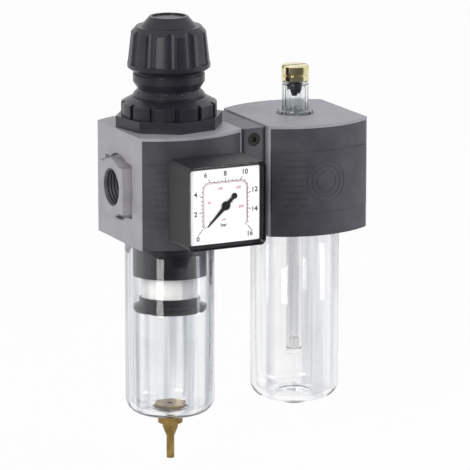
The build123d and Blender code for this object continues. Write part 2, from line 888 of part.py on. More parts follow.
def bowl_seal_ring_radius():
    """Ring radius of a bowl's O-ring, which just meets the socket's wall."""
    return socket_radius - seal_gap - bowl_seal_section / 2


def bowl_seal():
    """O-ring in the bowl neck's groove."""
    height = socket_roof - bowl_gap - bowl_seal_drop
    return seal(bowl_seal_ring_radius(), bowl_seal_section, height)


def make_bowls():
    """Filter bowl with its drain hole, lubricator bowl with its foot, and their seals."""
    low = z_bottom - bowl_length
    hole = disc(drain_plug_radius + drain_sleeve_wall + fit_gap, low - 1, low + bowl_wall + bowl_dish)
    pad = disc(drain_nut_radius + nut_pad, low, low + bowl_wall)
    nut_seat = disc(drain_nut_radius + 2 * fit_gap, low + bowl_wall, low + bowl_wall + bowl_dish)
    filter_bowl = bowl(bowl_length) + pad - hole - nut_seat
    write_node("filter_bowl", REGULATOR * filter_bowl)
    write_node("filter_bowl_seal", REGULATOR * bowl_seal())
    oil_low = z_bottom - lubricator_bowl_length
    oil_floor = oil_low + bowl_wall
    boss = disc(bowl_boss_radius, oil_low - bowl_boss_height, oil_floor)
    step = tube(bowl_step_radius, bowl_step_radius - bowl_step_wall, oil_floor, oil_floor + bowl_step_height)
    write_node("lubricator_bowl", LUBRICATOR * (bowl(lubricator_bowl_length) + boss + step))
    write_node("lubricator_bowl_seal", LUBRICATOR * bowl_seal())


def make_drain():
    """Drain fitting through the bowl and the screw that opens it."""
    low = z_bottom - bowl_length
    floor = low + bowl_wall
    collar_low = low - drain_collar_height
    sleeve = drain_plug_radius + drain_sleeve_wall
    nut = Pos(0, 0, floor) * extrude(RegularPolygon(drain_nut_radius, 6), drain_nut_height)
    fitting = nut + disc(sleeve, low, floor) + disc(drain_collar_radius, collar_low, low)
    bore = drain_plug_radius + running_gap
    fitting -= disc(bore, collar_low - 1, floor + 1)
    fitting -= disc(drain_seat_radius, floor, floor + drain_nut_height + 1)
    write_node("drain_fitting", REGULATOR * fitting)

    knob_high = collar_low - drain_knob_gap
    knob_low = knob_high - drain_knob_height
    taper_low = knob_low - drain_taper_height
    tip_low = taper_low - drain_tip_length
    groove_height = collar_low + drain_pitch * drain_turns + 1.2
    relief_low = groove_height + 1.2
    stem = turned([
        (0, floor),
        (drain_plug_radius - 0.8, floor),
        (drain_plug_radius - 0.8, relief_low),
        (drain_plug_radius, relief_low),
        (drain_plug_radius, knob_high),
        (drain_knob_radius, knob_high),
        (drain_knob_radius, knob_low),
        (drain_tip_radius, taper_low),
        (drain_tip_radius, tip_low),
        (0, tip_low),
    ])
    groove_half = drain_seal_section / 2 + thread_gap
    groove_span = (groove_height - groove_half, groove_height + groove_half)
    stem -= tube(drain_plug_radius + 1, drain_plug_radius - 1.1, *groove_span)
    cross_height = relief_low + drain_bore
    stem -= disc(drain_bore, tip_low - 1, cross_height)
    stem -= rod_x(drain_bore, -drain_plug_radius - 1, drain_plug_radius + 1, z=cross_height)
    write_node("drain_stem", REGULATOR * stem)
    ring_radius = bore - seal_gap - drain_seal_section / 2
    write_node("drain_seal", REGULATOR * seal(ring_radius, drain_seal_section, groove_height))


# ---------------------------------------------------------------- pressure gauge

GAUGE = Pos(x_regulator + gauge_offset, 0, 0)
gauge_rear = -apex - gauge_stand_off
gauge_front = gauge_rear - gauge_depth
bezel_rear = gauge_front + bezel_depth
dial_front = gauge_front + dial_recess
window_rear = gauge_front + window_drop + window_thickness
window_pocket = gauge_size - 2 * bezel_edge
bezel_corner = gauge_corner - bezel_edge
dial_rear = dial_front + dial_thickness


def square_y(size, corner, front, rear):
    """Rounded square slab between two Y values, centred on the gauge's axis."""
    face = RectangleRounded(size, size, corner)
    return Pos(0, rear, 0) * Rot(90, 0, 0) * extrude(face, rear - front)


def gauge_case():
    """Square case, open at the front, with a rebate for the bezel."""
    case = square_y(gauge_size, gauge_corner, bezel_rear, gauge_rear)
    case = fillet(case.edges().group_by(Axis.Y)[-1], gauge_rear_round)
    case += square_y(gauge_rebate - 0.1, rebate_corner, dial_rear, bezel_rear + 1)
    case -= square_y(gauge_inner, rebate_corner - 0.3, dial_rear - 1, gauge_rear - gauge_wall)
    return case - rod_y(gauge_neck_radius, gauge_rear - gauge_wall - 1, gauge_rear + 1)


def gauge_bezel():
    """Square frame that holds the window on the case."""
    bezel = square_y(gauge_size, gauge_corner, gauge_front, bezel_rear)
    bezel -= square_y(gauge_rebate, rebate_corner, dial_front, bezel_rear + 1)
    bezel -= square_y(window_pocket, bezel_corner, gauge_front - 1, window_rear)
    outer = Pos(0, window_rear, 0) * Rot(90, 0, 0) * RectangleRounded(
        window_pocket - 2 * bezel_ledge, window_pocket - 2 * bezel_ledge, bezel_inner_corner)
    inner = Pos(0, dial_front, 0) * Rot(90, 0, 0) * RectangleRounded(
        gauge_size - 2 * bezel_lip, gauge_size - 2 * bezel_lip, bezel_inner_corner)
    bezel -= loft([outer, inner])
    return bezel


def gauge_socket():
    """Brass stem screwed into the body, with the block that carries the works."""
    thread_end = gauge_thread_end - thread_runout
    neck = gauge_neck_radius - fit_gap
    socket = rod_y(gauge_thread_radius, gauge_rear, thread_end)
    socket += rod_y(neck, gauge_rear - gauge_wall, gauge_rear)
    block_low = -bourdon_radius - block_overlap
    block_span = (movement_rear, gauge_rear - gauge_wall)
    socket += block((-block_half, block_half), block_span, (block_low, block_high))
    return socket - rod_y(sensing_radius, movement_rear + 3.5, thread_end + 1)


def bourdon_tube():
    """C-shaped flat tube from the socket block round to its closed end."""
    rear = gauge_rear - gauge_wall - bourdon_rear_gap
    front = rear - bourdon_height
    outer = bourdon_radius + bourdon_width / 2
    inner = bourdon_radius - bourdon_width / 2
    ring = rod_y(outer, front, rear) - rod_y(inner, front, rear)
    ring -= block((-block_half - 1, block_half), (front - 1, rear + 1), (-outer - 1, 0))
    return ring - block((-outer - 1, 0), (front - 1, rear + 1), (-outer - 1, -bourdon_tip_drop))


movement_rear = gauge_rear - gauge_wall - block_depth
movement_front = dial_rear + 0.8
sector_drop = pinion_radius * (1 + sector_ratio)


def gauge_movement():
    """Two brass plates on pillars, bored for the pointer's arbor and the sector's pivot."""
    frame = []
    plate_low = -sector_drop - plate_margin
    for rear in (movement_rear - stud_length, movement_front + plate_thickness):
        plate = block((-plate_half, plate_half), (rear - plate_thickness, rear), (plate_low, plate_high))
        for z in (0, -sector_drop):
            plate -= rod_y(arbor_radius + running_gap, rear - 2 * plate_thickness, rear + 1, z=z)
        frame.append(plate)
    works = frame[0] + frame[1]
    for x in (1.5 - plate_half, plate_half - 1.5):
        for z in (plate_low + 1.5, plate_high - 1.5):
            works += rod_y(pillar_radius, movement_front, movement_rear - stud_length, x=x, z=z)
    for z in (plate_low + 7, plate_high - 1.5):
        works += rod_y(1.5, movement_rear - stud_length, movement_rear, z=z)
    return works


def gauge_pointer():
    """Pointer with hub and tail, swung to the low end of the scale."""
    tail_radius = 1.6
    neck_high = -pointer_tail + 1.5 * tail_radius
    arm = Polyline(
        (-1.1, 0), (-0.25, pointer_length), (0.25, pointer_length), (1.1, 0),
        (0.8, neck_high), (-0.8, neck_high), close=True,
    )
    flat = make_face(arm) + Circle(hub_radius) + Pos(0, -pointer_tail + tail_radius) * Circle(tail_radius)
    blade = Rot(90, 0, 0) * extrude(flat, pointer_thickness)
    return Pos(0, dial_front - pointer_gap, 0) * Rot(0, pointer_rest_angle, 0) * blade


def gauge_arbor():
    """Arbor through both plates and the dial, with its pinion."""
    front = dial_front - pointer_gap - pointer_thickness - 0.3
    arbor = rod_y(arbor_radius, front, movement_rear - 0.1)
    middle = (movement_front + movement_rear) / 2
    return arbor + rod_y(pinion_radius - running_gap, middle - pinion_half, middle + pinion_half)


def gauge_sector():
    """Sector that drives the pinion, on its own pivot below it."""
    middle = (movement_front + movement_rear) / 2
    radius = pinion_radius * sector_ratio
    edge = radius + 3
    side = edge * math.tan(math.radians(sector_swing / 2 + sector_overrun))
    wedge = make_face(Polyline((0, -2.0), (-side, edge - 2.0), (side, edge - 2.0), close=True))
    wedge = Rot(90, 0, 0) * extrude(wedge, 2 * sector_half)
    plate = Pos(0, middle + sector_half, 0) * wedge
    plate &= rod_y(radius - running_gap, middle - 1, middle + 1)
    plate += rod_y(sector_hub_radius, middle - sector_half, middle + sector_half)
    plate = Rot(0, sector_swing / 2, 0) * plate
    plate += rod_y(arbor_radius, movement_front + 0.2, movement_rear - stud_length - 0.2)
    return Pos(0, 0, -sector_drop) * plate


def make_gauge():
    """Pressure gauge: case, window, dial, pointer and works."""
    write_node("gauge_case", GAUGE * gauge_case())
    write_node("gauge_bezel", GAUGE * gauge_bezel())
    write_node("gauge_socket", GAUGE * gauge_socket())
    write_node("bourdon_tube", GAUGE * bourdon_tube())
    write_node("gauge_movement", GAUGE * gauge_movement())
    window_size = window_pocket - 2 * window_drop
    window = square_y(window_size, bezel_corner - window_drop, window_rear - window_thickness, window_rear)
    write_node("gauge_window", GAUGE * window)
    dial = square_y(gauge_rebate - 0.4, rebate_corner - 0.1, dial_front, dial_rear)
    write_node("gauge_dial", GAUGE * (dial - rod_y(arbor_radius + 0.4, dial_front - 1, dial_rear + 1)))
    pointer = gauge_pointer() - rod_y(arbor_radius, dial_front - 5, dial_front)
    write_node("gauge_pointer", GAUGE * pointer)
    write_node("gauge_arbor", GAUGE * gauge_arbor())
    write_node("gauge_sector", GAUGE * gauge_sector())


# ---------------------------------------------------------------- lubricator works

def make_lubricator():
    """Sight dome with its metering screw, oil riser, venturi and siphon."""
    base_low = z_top - dome_recess
    base_high = base_low + dome_base_height
    base = tube(dome_base_radius, dome_radius + fit_gap, base_low, base_high)
    notch = disc(dome_scallop_radius, base_high - 1.6, base_high + 1, x=dome_base_radius + 0.4)
    write_node("dome_ring", LUBRICATOR * (base - around(notch, dome_base_scallops, 22.5)))

    spigot_low = z_top - dome_spigot + dome_seal_section
    dome_high = z_top + dome_height
    inner = dome_radius - dome_wall
    dome = disc(dome_radius, spigot_low, dome_high) - disc(inner, spigot_low - 1, dome_high - dome_roof)
    dome -= disc(metering_stem_radius + collar_wall, dome_high - dome_roof - 1, dome_high + 1)
    rib = disc(dome_rib_radius, base_high + 1, dome_high - 1.5, x=dome_radius + 0.05)
    dome -= around(rib, dome_ribs)
    write_node("sight_dome", LUBRICATOR * dome)
    seal_height = z_top - dome_spigot + dome_seal_section / 2
    seal_radius = dome_radius - dome_seal_section / 2 - running_gap
    write_node("dome_seal", LUBRICATOR * seal(seal_radius, dome_seal_section, seal_height))

    stem_bore = metering_stem_radius + running_gap
    collar_low = dome_high - collar_height
    collar = tube(metering_stem_radius + collar_wall, stem_bore, collar_low, dome_high)
    nozzle_low = dome_high - nozzle_drop
    nozzle = turned([
        (0.6, nozzle_low),
        (1.2, nozzle_low),
        (metering_stem_radius + collar_wall, collar_low),
        (stem_bore, collar_low),
        (stem_bore, collar_low - 1),
        (0.6, nozzle_low + 1.2),
    ])
    write_node("drip_nozzle", LUBRICATOR * (collar + nozzle))

    cap_low = dome_high + metering_gap
    needle_low = collar_low + 0.7 - metering_pitch * metering_turns
    cap_high = cap_low + metering_cap_height
    groove = cap_low + 2.6
    cap = turned([
        (0, needle_low),
        (metering_stem_radius, needle_low),
        (metering_stem_radius, cap_low),
        (metering_cap_radius, cap_low),
        (metering_cap_radius, groove),
        (metering_cap_radius - 0.6, groove + 0.3),
        (metering_cap_radius - 0.6, groove + 0.8),
        (metering_cap_radius, groove + 1.1),
        (metering_cap_radius, cap_high - 0.6),
        (metering_cap_radius - 0.6, cap_high),
        (0, cap_high),
    ])
    reach = metering_cap_radius + 1
    half = metering_slot_width / 2
    cap -= block((-reach, reach), (-half, half), (cap_high - metering_slot_depth, cap_high + 1))
    groove_half = metering_seal_section / 2 + thread_gap
    middle = dome_high - collar_height / 2
    groove_span = (middle - groove_half, middle + groove_half)
    cap -= tube(metering_stem_radius + 1, metering_stem_radius - 1.1, *groove_span)
    write_node("metering_screw", LUBRICATOR * cap)
    ring_radius = stem_bore - seal_gap - metering_seal_section / 2
    write_node("metering_seal", LUBRICATOR * seal(ring_radius, metering_seal_section, middle))

    riser_high = z_top - dome_spigot
    riser = disc(riser_radius, socket_roof, riser_high)
    riser -= disc(oil_bore, socket_roof - 1, riser_high + 1, x=-oil_bore_reach)
    riser -= disc(oil_bore, 0, riser_high + 1, x=oil_bore_reach)
    riser -= rod_x(oil_bore, oil_bore_reach, riser_radius + 1)
    write_node("oil_riser", LUBRICATOR * riser)
    vane_x = riser_radius + vane_gap
    vane = rod_x(passage_radius - running_gap, vane_x, vane_x + vane_thickness)
    vane -= rod_x(vane_bore, vane_x - 1, vane_x + vane_thickness + 1)
    write_node("venturi_ring", LUBRICATOR * vane)

    adapter_low = socket_roof - adapter_thickness
    spigot_end = adapter_low - adapter_spigot
    adapter = disc(adapter_radius, adapter_low, socket_roof)
    adapter += disc(siphon_bore - running_gap, spigot_end, adapter_low)
    adapter -= disc(ball_bore, spigot_end - 1, socket_roof + 1)
    adapter -= disc(check_ball_radius + ball_clearance, adapter_low, socket_roof + 1)
    adapter -= block((-2.6, 0), (-0.8, 0.8), (socket_roof - 0.8, socket_roof + 1))
    write_node("siphon_adapter", LUBRICATOR * adapter)
    ball = Pos(0, 0, adapter_low + check_ball_radius + 0.02) * Sphere(check_ball_radius)
    write_node("check_ball", LUBRICATOR * ball)
    siphon_low = z_bottom - lubricator_bowl_length + siphon_clearance
    tube_low = siphon_low + strainer_height
    write_node("siphon_tube", LUBRICATOR * tube(siphon_radius, siphon_bore, tube_low, adapter_low))
    strainer = disc(siphon_bore - running_gap, tube_low, tube_low + strainer_spigot)
    strainer += disc(siphon_radius, siphon_low, tube_low)
    strainer -= disc(strainer_bore, siphon_low - 1, tube_low + strainer_spigot + 1)
    write_node("siphon_strainer", LUBRICATOR * strainer)


make_bodies()
make_coupling()
make_regulator()
make_filter_set()
make_bowls()
make_drain()
make_gauge()
make_lubricator()
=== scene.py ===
# %% [markdown]
# # Filter regulator lubricator
# A compressed-air service unit: on the left a filter with a pressure regulator, a square gauge and
# a fluted knob, on the right a lubricator with a small sight dome. Both stand over clear bowls.
# The CAD model gives every shape that has to fit. This lesson adds what the eye judges: finishes,
# the printed dial, smooth bowls, soft edges and studio light.

# %% Load the frame
import math
import bpy
from mathutils import Matrix, Vector


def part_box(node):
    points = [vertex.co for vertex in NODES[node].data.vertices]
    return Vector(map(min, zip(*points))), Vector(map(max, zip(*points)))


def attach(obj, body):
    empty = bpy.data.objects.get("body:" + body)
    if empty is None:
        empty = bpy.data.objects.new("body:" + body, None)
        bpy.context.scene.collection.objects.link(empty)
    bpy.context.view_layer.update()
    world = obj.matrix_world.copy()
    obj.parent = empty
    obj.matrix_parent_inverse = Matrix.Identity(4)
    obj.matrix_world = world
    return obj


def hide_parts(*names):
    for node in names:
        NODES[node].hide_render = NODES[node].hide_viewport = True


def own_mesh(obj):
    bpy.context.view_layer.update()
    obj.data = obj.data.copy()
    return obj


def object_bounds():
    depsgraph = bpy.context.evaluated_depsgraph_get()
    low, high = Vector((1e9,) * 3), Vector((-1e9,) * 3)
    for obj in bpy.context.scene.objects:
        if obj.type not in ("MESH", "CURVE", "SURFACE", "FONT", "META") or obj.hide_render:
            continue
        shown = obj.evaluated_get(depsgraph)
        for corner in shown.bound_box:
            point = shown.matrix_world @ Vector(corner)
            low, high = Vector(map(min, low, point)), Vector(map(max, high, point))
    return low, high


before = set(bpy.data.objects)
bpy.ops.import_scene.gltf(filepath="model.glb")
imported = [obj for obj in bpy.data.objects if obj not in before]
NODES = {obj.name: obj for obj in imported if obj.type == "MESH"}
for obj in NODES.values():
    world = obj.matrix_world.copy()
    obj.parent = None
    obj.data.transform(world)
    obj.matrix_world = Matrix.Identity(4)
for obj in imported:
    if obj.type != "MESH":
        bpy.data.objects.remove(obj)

cad_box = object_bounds()
MM = 0.001
print("CAD box in mm:", [round(v / MM, 1) for corner in cad_box for v in corner])

# %% [markdown]
# ## Camera
# A long lens from 2 m keeps the verticals upright, as in a catalogue picture. The camera looks from
# the left and a little above, so that the inlet port, the tops and the dial all show.

# %% Camera
CAMERA_AZIMUTH = math.radians(-25.91)
CAMERA_ELEVATION = math.radians(13.12)
CAMERA_DISTANCE = 2.0
CAMERA_TARGET = Vector((72.14, 0.0, -33.6)) * MM
LENS_MM = 282.97

away = Vector((
    math.sin(CAMERA_AZIMUTH) * math.cos(CAMERA_ELEVATION),
    -math.cos(CAMERA_AZIMUTH) * math.cos(CAMERA_ELEVATION),
    math.sin(CAMERA_ELEVATION),
))
camera_data = bpy.data.cameras.new("camera")
camera_data.lens = LENS_MM
camera_data.sensor_width = 36.0
camera_data.clip_end = 20.0
camera = bpy.data.objects.new("camera", camera_data)
camera.location = CAMERA_TARGET + CAMERA_DISTANCE * away
camera.rotation_euler = away.to_track_quat("Z", "Y").to_euler()
bpy.context.scene.collection.objects.link(camera)
bpy.context.scene.camera = camera
print("camera at", [round(v, 3) for v in camera.location])

# %% [markdown]
# ## Small helpers
# Colours are written as the hex values that a screen shows, and one function turns them to the
# linear numbers that Blender works with. One more function adds a node of any kind: it sets the
# node's own settings, the values of its inputs and the stops of a colour ramp, and links its inputs.

# %% Helpers for materials
def linear(hex_colour):
    channels = [int(hex_colour[i:i + 2], 16) / 255 for i in (1, 3, 5)]
    return tuple(c / 12.92 if c <= 0.04045 else ((c + 0.055) / 1.055) ** 2.4 for c in channels) + (1.0,)


def add_node(tree, kind, values=None, links=None, stops=(), **settings):
    node = tree.nodes.new(kind)
    for name, value in settings.items():
        setattr(node, name, value)
    for name, value in (values or {}).items():
        node.inputs[name].default_value = value
    for name, socket in (links or {}).items():
        tree.links.new(socket, node.inputs[name])
    for index, (position, colour) in enumerate(stops):
        elements = node.color_ramp.elements
        stop = elements[index] if index < 2 else elements.new(position)
        stop.position, stop.color = position, colour
    return node


def new_material(name):
    """An empty material: itself, its node tree, its output and the object coordinates in metres."""
    material = bpy.data.materials.new(name)
    material.use_nodes = True
    tree = material.node_tree
    tree.nodes.clear()
    output = add_node(tree, "ShaderNodeOutputMaterial")
    place = add_node(tree, "ShaderNodeTexCoord").outputs["Object"]
    return material, tree, output, place

# %% [markdown]
# ## Light
# The unit hangs over a pale floor in a white studio. The world is full white where the camera,
# a mirror or a clear bowl looks at it, with a darker side behind the camera so that brass and
# gloss have something to draw their edges with, and it lights matt surfaces at a lower level.
# One large soft lamp stands at the upper left and a weaker one at the right.

# %% World
AMBIENT = 0.50
WHITE, NIGHT = (1, 1, 1, 1), (0.05, 0.05, 0.06, 1)
TOWARDS_CAMERA = (away.x, away.y, 0.0)
world = bpy.data.worlds.new("studio")
bpy.context.scene.world = world
world.use_nodes = True
wt = world.node_tree
wt.nodes.clear()
path = add_node(wt, "ShaderNodeLightPath")
direction = add_node(wt, "ShaderNodeTexCoord").outputs["Generated"]
to_camera = add_node(wt, "ShaderNodeVectorMath", {1: TOWARDS_CAMERA}, {0: direction},
                     operation="DOT_PRODUCT")
behind = add_node(wt, "ShaderNodeValToRGB", links={"Fac": to_camera.outputs["Value"]},
                  stops=[(0.45, WHITE), (0.97, NIGHT)])
mirror_light = add_node(wt, "ShaderNodeBackground", {"Strength": 1.0}, {"Color": behind.outputs["Color"]})
white = add_node(wt, "ShaderNodeBackground", {"Color": WHITE, "Strength": 1.0})
ambient = add_node(wt, "ShaderNodeBackground", {"Color": linear("#f4f6ff"), "Strength": AMBIENT})

# %% [markdown]
# A ray that has bounced off gloss has a Glossy Depth of 1 or more. It gets the studio with its dark
# side. A ray that comes straight from the camera, or through clear plastic, gets plain white.

# %% Which light a ray gets
bounced = add_node(wt, "ShaderNodeMath", {1: 1.0}, {0: path.outputs["Glossy Depth"]}, operation="MINIMUM")
seen_or_through = add_node(wt, "ShaderNodeMath", operation="MAXIMUM",
                           links={0: path.outputs["Is Camera Ray"], 1: path.outputs["Is Transmission Ray"]})
straight = add_node(wt, "ShaderNodeMath", operation="SUBTRACT", use_clamp=True,
                    links={0: seen_or_through.outputs[0], 1: bounced.outputs[0]})
mirrored = add_node(wt, "ShaderNodeMath", operation="SUBTRACT", use_clamp=True,
                    links={0: bounced.outputs[0], 1: path.outputs["Is Diffuse Ray"]})
lit = add_node(wt, "ShaderNodeMixShader",
               links={0: mirrored.outputs[0], 1: ambient.outputs[0], 2: mirror_light.outputs[0]})
shown = add_node(wt, "ShaderNodeMixShader",
                 links={0: straight.outputs[0], 1: lit.outputs[0], 2: white.outputs[0]})
add_node(wt, "ShaderNodeOutputWorld", links={"Surface": shown.outputs[0]})
print("world nodes:", len(wt.nodes))

# %% [markdown]
# Three area lamps stand for softboxes. One large lamp at the left shapes the object, a narrower one
# at the right opens the shadows, and a weak one above keeps the tops even. Point lamps would give
# hard shadows and small hot spots on the gloss.

# %% Lamps
def lamp(name, position, size, power, colour):
    """An area lamp at a place in metres, aimed at the middle of the object, with its power in watts."""
    data = bpy.data.lights.new(name, "AREA")
    data.shape = "RECTANGLE"
    data.size, data.size_y = size
    data.energy = power
    data.color = linear(colour)[:3]
    light = bpy.data.objects.new(name, data)
    light.location = Vector(position)
    light.rotation_euler = (light.location - CAMERA_TARGET).to_track_quat("Z", "Y").to_euler()
    bpy.context.scene.collection.objects.link(light)
    print("lamp", name, power, "W")


lamp("key_left", (-0.98, -0.80, 0.52), (0.5, 0.9), 10.0, "#fffdf8")
lamp("fill_right", (0.95, -0.55, 0.45), (0.30, 0.9), 4.0, "#f2f6ff")
lamp("top_soft", (0.1, 0.25, 1.0), (1.0, 0.8), 0.5, "#ffffff")

# %% [markdown]
# The floor is a big pale plane, a little below the drain, so that the unit seems to hang over it. It
# keeps the object's shadow, and it glows only where a ray sees it directly, mirrored or through the
# bowls. It glows white, except in a mirror, where its side towards the camera glows dark: painted
# shade that carries on the studio's dark side. More lamp light would make it white too, but would
# bleach the object.

# %% Floor
FLOOR_DROP, FLOOR_SIZE = 0.012, 8.0
GLOW_SHARE = 0.96
bpy.ops.object.select_all(action="DESELECT")
floor_z = cad_box[0].z - FLOOR_DROP
bpy.ops.mesh.primitive_plane_add(size=FLOOR_SIZE, location=(0, 0, floor_z))
floor = bpy.context.object
floor.name = "floor"
material, tree, output, place = new_material("pale_floor")
diffuse = add_node(tree, "ShaderNodeBsdfDiffuse", {"Color": linear("#f2f2f2")})
path = add_node(tree, "ShaderNodeLightPath")
bounced = add_node(tree, "ShaderNodeMath", {1: 1.0}, {0: path.outputs["Glossy Depth"]}, operation="MINIMUM")
front = add_node(tree, "ShaderNodeVectorMath", {1: TOWARDS_CAMERA}, {0: place}, operation="DOT_PRODUCT")
# Painted shade: in a mirror the floor's glow darkens towards the camera's side.
painted_floor_shade = add_node(tree, "ShaderNodeValToRGB", links={"Fac": front.outputs["Value"]},
               stops=[(0.10, WHITE), (0.45, (0.12, 0.12, 0.13, 1))])
tone = add_node(tree, "ShaderNodeMix", {"A": WHITE},
                {"Factor": bounced.outputs[0], "B": painted_floor_shade.outputs["Color"]}, data_type="RGBA")
glow = add_node(tree, "ShaderNodeEmission", {"Strength": 1.0}, {"Color": tone.outputs["Result"]})
seen_or_mirrored = add_node(tree, "ShaderNodeMath", operation="MAXIMUM",
                            links={0: path.outputs["Is Camera Ray"], 1: path.outputs["Is Glossy Ray"]})
seen = add_node(tree, "ShaderNodeMath", operation="MAXIMUM",
                links={0: seen_or_mirrored.outputs[0], 1: path.outputs["Is Transmission Ray"]})
share = add_node(tree, "ShaderNodeMath", {1: GLOW_SHARE}, {0: seen.outputs[0]}, operation="MULTIPLY")
surface = add_node(tree, "ShaderNodeMixShader",
                   links={0: share.outputs[0], 1: diffuse.outputs[0], 2: glow.outputs[0]})
tree.links.new(surface.outputs[0], output.inputs["Surface"])
floor.data.materials.append(material)

scene = bpy.context.scene
scene.view_settings.view_transform = "Standard"
print("floor at", round(floor_z / MM, 1), "mm")

# %% [markdown]
# ## Moulded finishes
# Most of the unit is moulded or pressed: nylon covers, knob, gauge case, rubber rings, the sintered
# filter. They differ in colour, gloss and grain, so one function builds them all from slow colour
# patches, a fine grain in the normal and a softened edge. Patterns are placed by object coordinates,
# which are metres here, so a scale of 1000 is one cell to the millimetre.

# %% Moulded finish
PATCH_MM = 12.0


def moulded(name, dark, light, roughness, grain_mm, grain_depth_mm, edge_mm, ior=1.5):
    material, tree, output, place = new_material(name)
    patches = add_node(tree, "ShaderNodeTexNoise", {"Scale": 1000 / PATCH_MM, "Detail": 3.0}, {"Vector": place})
    colour = add_node(tree, "ShaderNodeValToRGB", links={"Fac": patches.outputs["Fac"]},
                      stops=[(0.35, linear(dark)), (0.65, linear(light))])
    grain = add_node(tree, "ShaderNodeTexNoise", {"Scale": 1000 / grain_mm, "Detail": 2.0}, {"Vector": place})
    edge = add_node(tree, "ShaderNodeBevel", {"Radius": edge_mm * MM}, samples=4)
    bump = add_node(tree, "ShaderNodeBump", {"Strength": 1.0, "Distance": grain_depth_mm * MM},
                    {"Height": grain.outputs["Fac"], "Normal": edge.outputs["Normal"]})
    shader = add_node(tree, "ShaderNodeBsdfPrincipled", {"Roughness": roughness, "IOR": ior},
                      {"Base Color": colour.outputs["Color"], "Normal": bump.outputs["Normal"]})
    tree.links.new(shader.outputs["BSDF"], output.inputs["Surface"])
    print("finish", name)
    return material

# %% [markdown]
# Each line below is one real material. After the name come its darker and lighter colour, its
# roughness, the size and depth of its grain in mm, and how far its edges are rounded.

# %% Plastics, rubber and paint
# Glass-filled nylon from a spark-eroded mould: nearly black, half gloss, fine grain.
black_nylon = moulded("glass_filled_nylon_moulded", "#212128", "#2a2a31", 0.30, 0.35, 0.010, 0.30, ior=1.42)
# Unfilled nylon covers: dark grey satin, smoother than the knob.
cover_nylon = moulded("satin_nylon_cover", "#444349", "#4e4d52", 0.36, 0.5, 0.006, 0.25, ior=1.42)
# ABS gauge case: black and even, with soft highlights.
gauge_abs = moulded("gauge_case_abs", "#111014", "#17161a", 0.40, 0.4, 0.006, 0.40, ior=1.38)
# Acetal inner parts: black and slippery, with tight highlights.
inner_nylon = moulded("inner_part_acetal", "#08090c", "#0e1014", 0.18, 0.8, 0.004, 0.20, ior=1.42)
# Sprayed paint on the pressed clamps: dark grey with a faint orange peel of 0.9 mm.
spacer_paint = moulded("satin_paint_on_clamp", "#4e4f53", "#58585c", 0.42, 0.9, 0.010, 0.30)
# Sintered polyethylene beads of 0.25 mm: white and quite matt.
sintered = moulded("sintered_polyethylene", "#ece9e6", "#f6f4f2", 0.85, 0.25, 0.05, 0.20)
# Moulded nitrile rubber: black, matt, without grain to speak of.
rubber = moulded("nitrile_rubber_moulded", "#101011", "#151516", 0.6, 0.5, 0.004, 0.15)
# Enamelled dial plate: even white with a low sheen.
dial_card = moulded("enamelled_dial_plate", "#f1f1f2", "#f8f8f8", 0.45, 2.0, 0.001, 0.05)
# Black lacquer on the thin brass pointer.
pointer_paint = moulded("black_lacquer_pointer", "#101012", "#161618", 0.4, 1.0, 0.001, 0.05)

# %% [markdown]
# ## Painted zinc casting
# Both bodies are die-cast zinc with a baked satin paint: a soft broad sheen and a faint orange peel.
# The ports are threaded after painting, so inside them the paint gives way to bare metal cut to a
# pipe thread of 1.814 mm pitch, whose dark colour is painted shade of the deep bore. Real thread
# turns would need many thousand faces, so the thread is drawn as a ridge that climbs by one pitch
# for each turn round the port's axis, which is X.

# %% Port thread
FLANK_SLOPE = 0.45
PEEL_MM, PEEL_DEPTH_MM = 0.9, 0.012
CAST_EDGE_MM = 0.35


def thread_and_peel(tree, place, parts, inside, pitch_mm):
    """Height in metres: the orange peel everywhere, and the thread's ridges inside the ports."""
    turn = add_node(tree, "ShaderNodeMath", operation="ARCTAN2",
                    links={0: parts.outputs["Z"], 1: parts.outputs["Y"]})
    climb = add_node(tree, "ShaderNodeMath", {1: pitch_mm * MM / (2 * math.pi), 2: 0.0}, {0: turn.outputs[0]},
                     operation="MULTIPLY_ADD")
    along = add_node(tree, "ShaderNodeMath", links={0: parts.outputs["X"], 1: climb.outputs[0]}, operation="ADD")
    # Ping-pong goes up and down again within twice its scale, so half the pitch goes in.
    thread = add_node(tree, "ShaderNodeMath", {1: pitch_mm * MM / 2}, {0: along.outputs[0]},
                      operation="PINGPONG")
    flanks = add_node(tree, "ShaderNodeMath", {1: FLANK_SLOPE}, {0: thread.outputs[0]}, operation="MULTIPLY")
    ridges = add_node(tree, "ShaderNodeMath", operation="MULTIPLY",
                      links={0: flanks.outputs[0], 1: inside.outputs[0]})
    peel = add_node(tree, "ShaderNodeTexNoise", {"Scale": 1000 / PEEL_MM, "Detail": 2.0}, {"Vector": place})
    soft_peel = add_node(tree, "ShaderNodeMath", {1: PEEL_DEPTH_MM * MM}, {0: peel.outputs["Fac"]},
                         operation="MULTIPLY")
    return add_node(tree, "ShaderNodeMath", operation="ADD",
                    links={0: ridges.outputs[0], 1: soft_peel.outputs[0]})
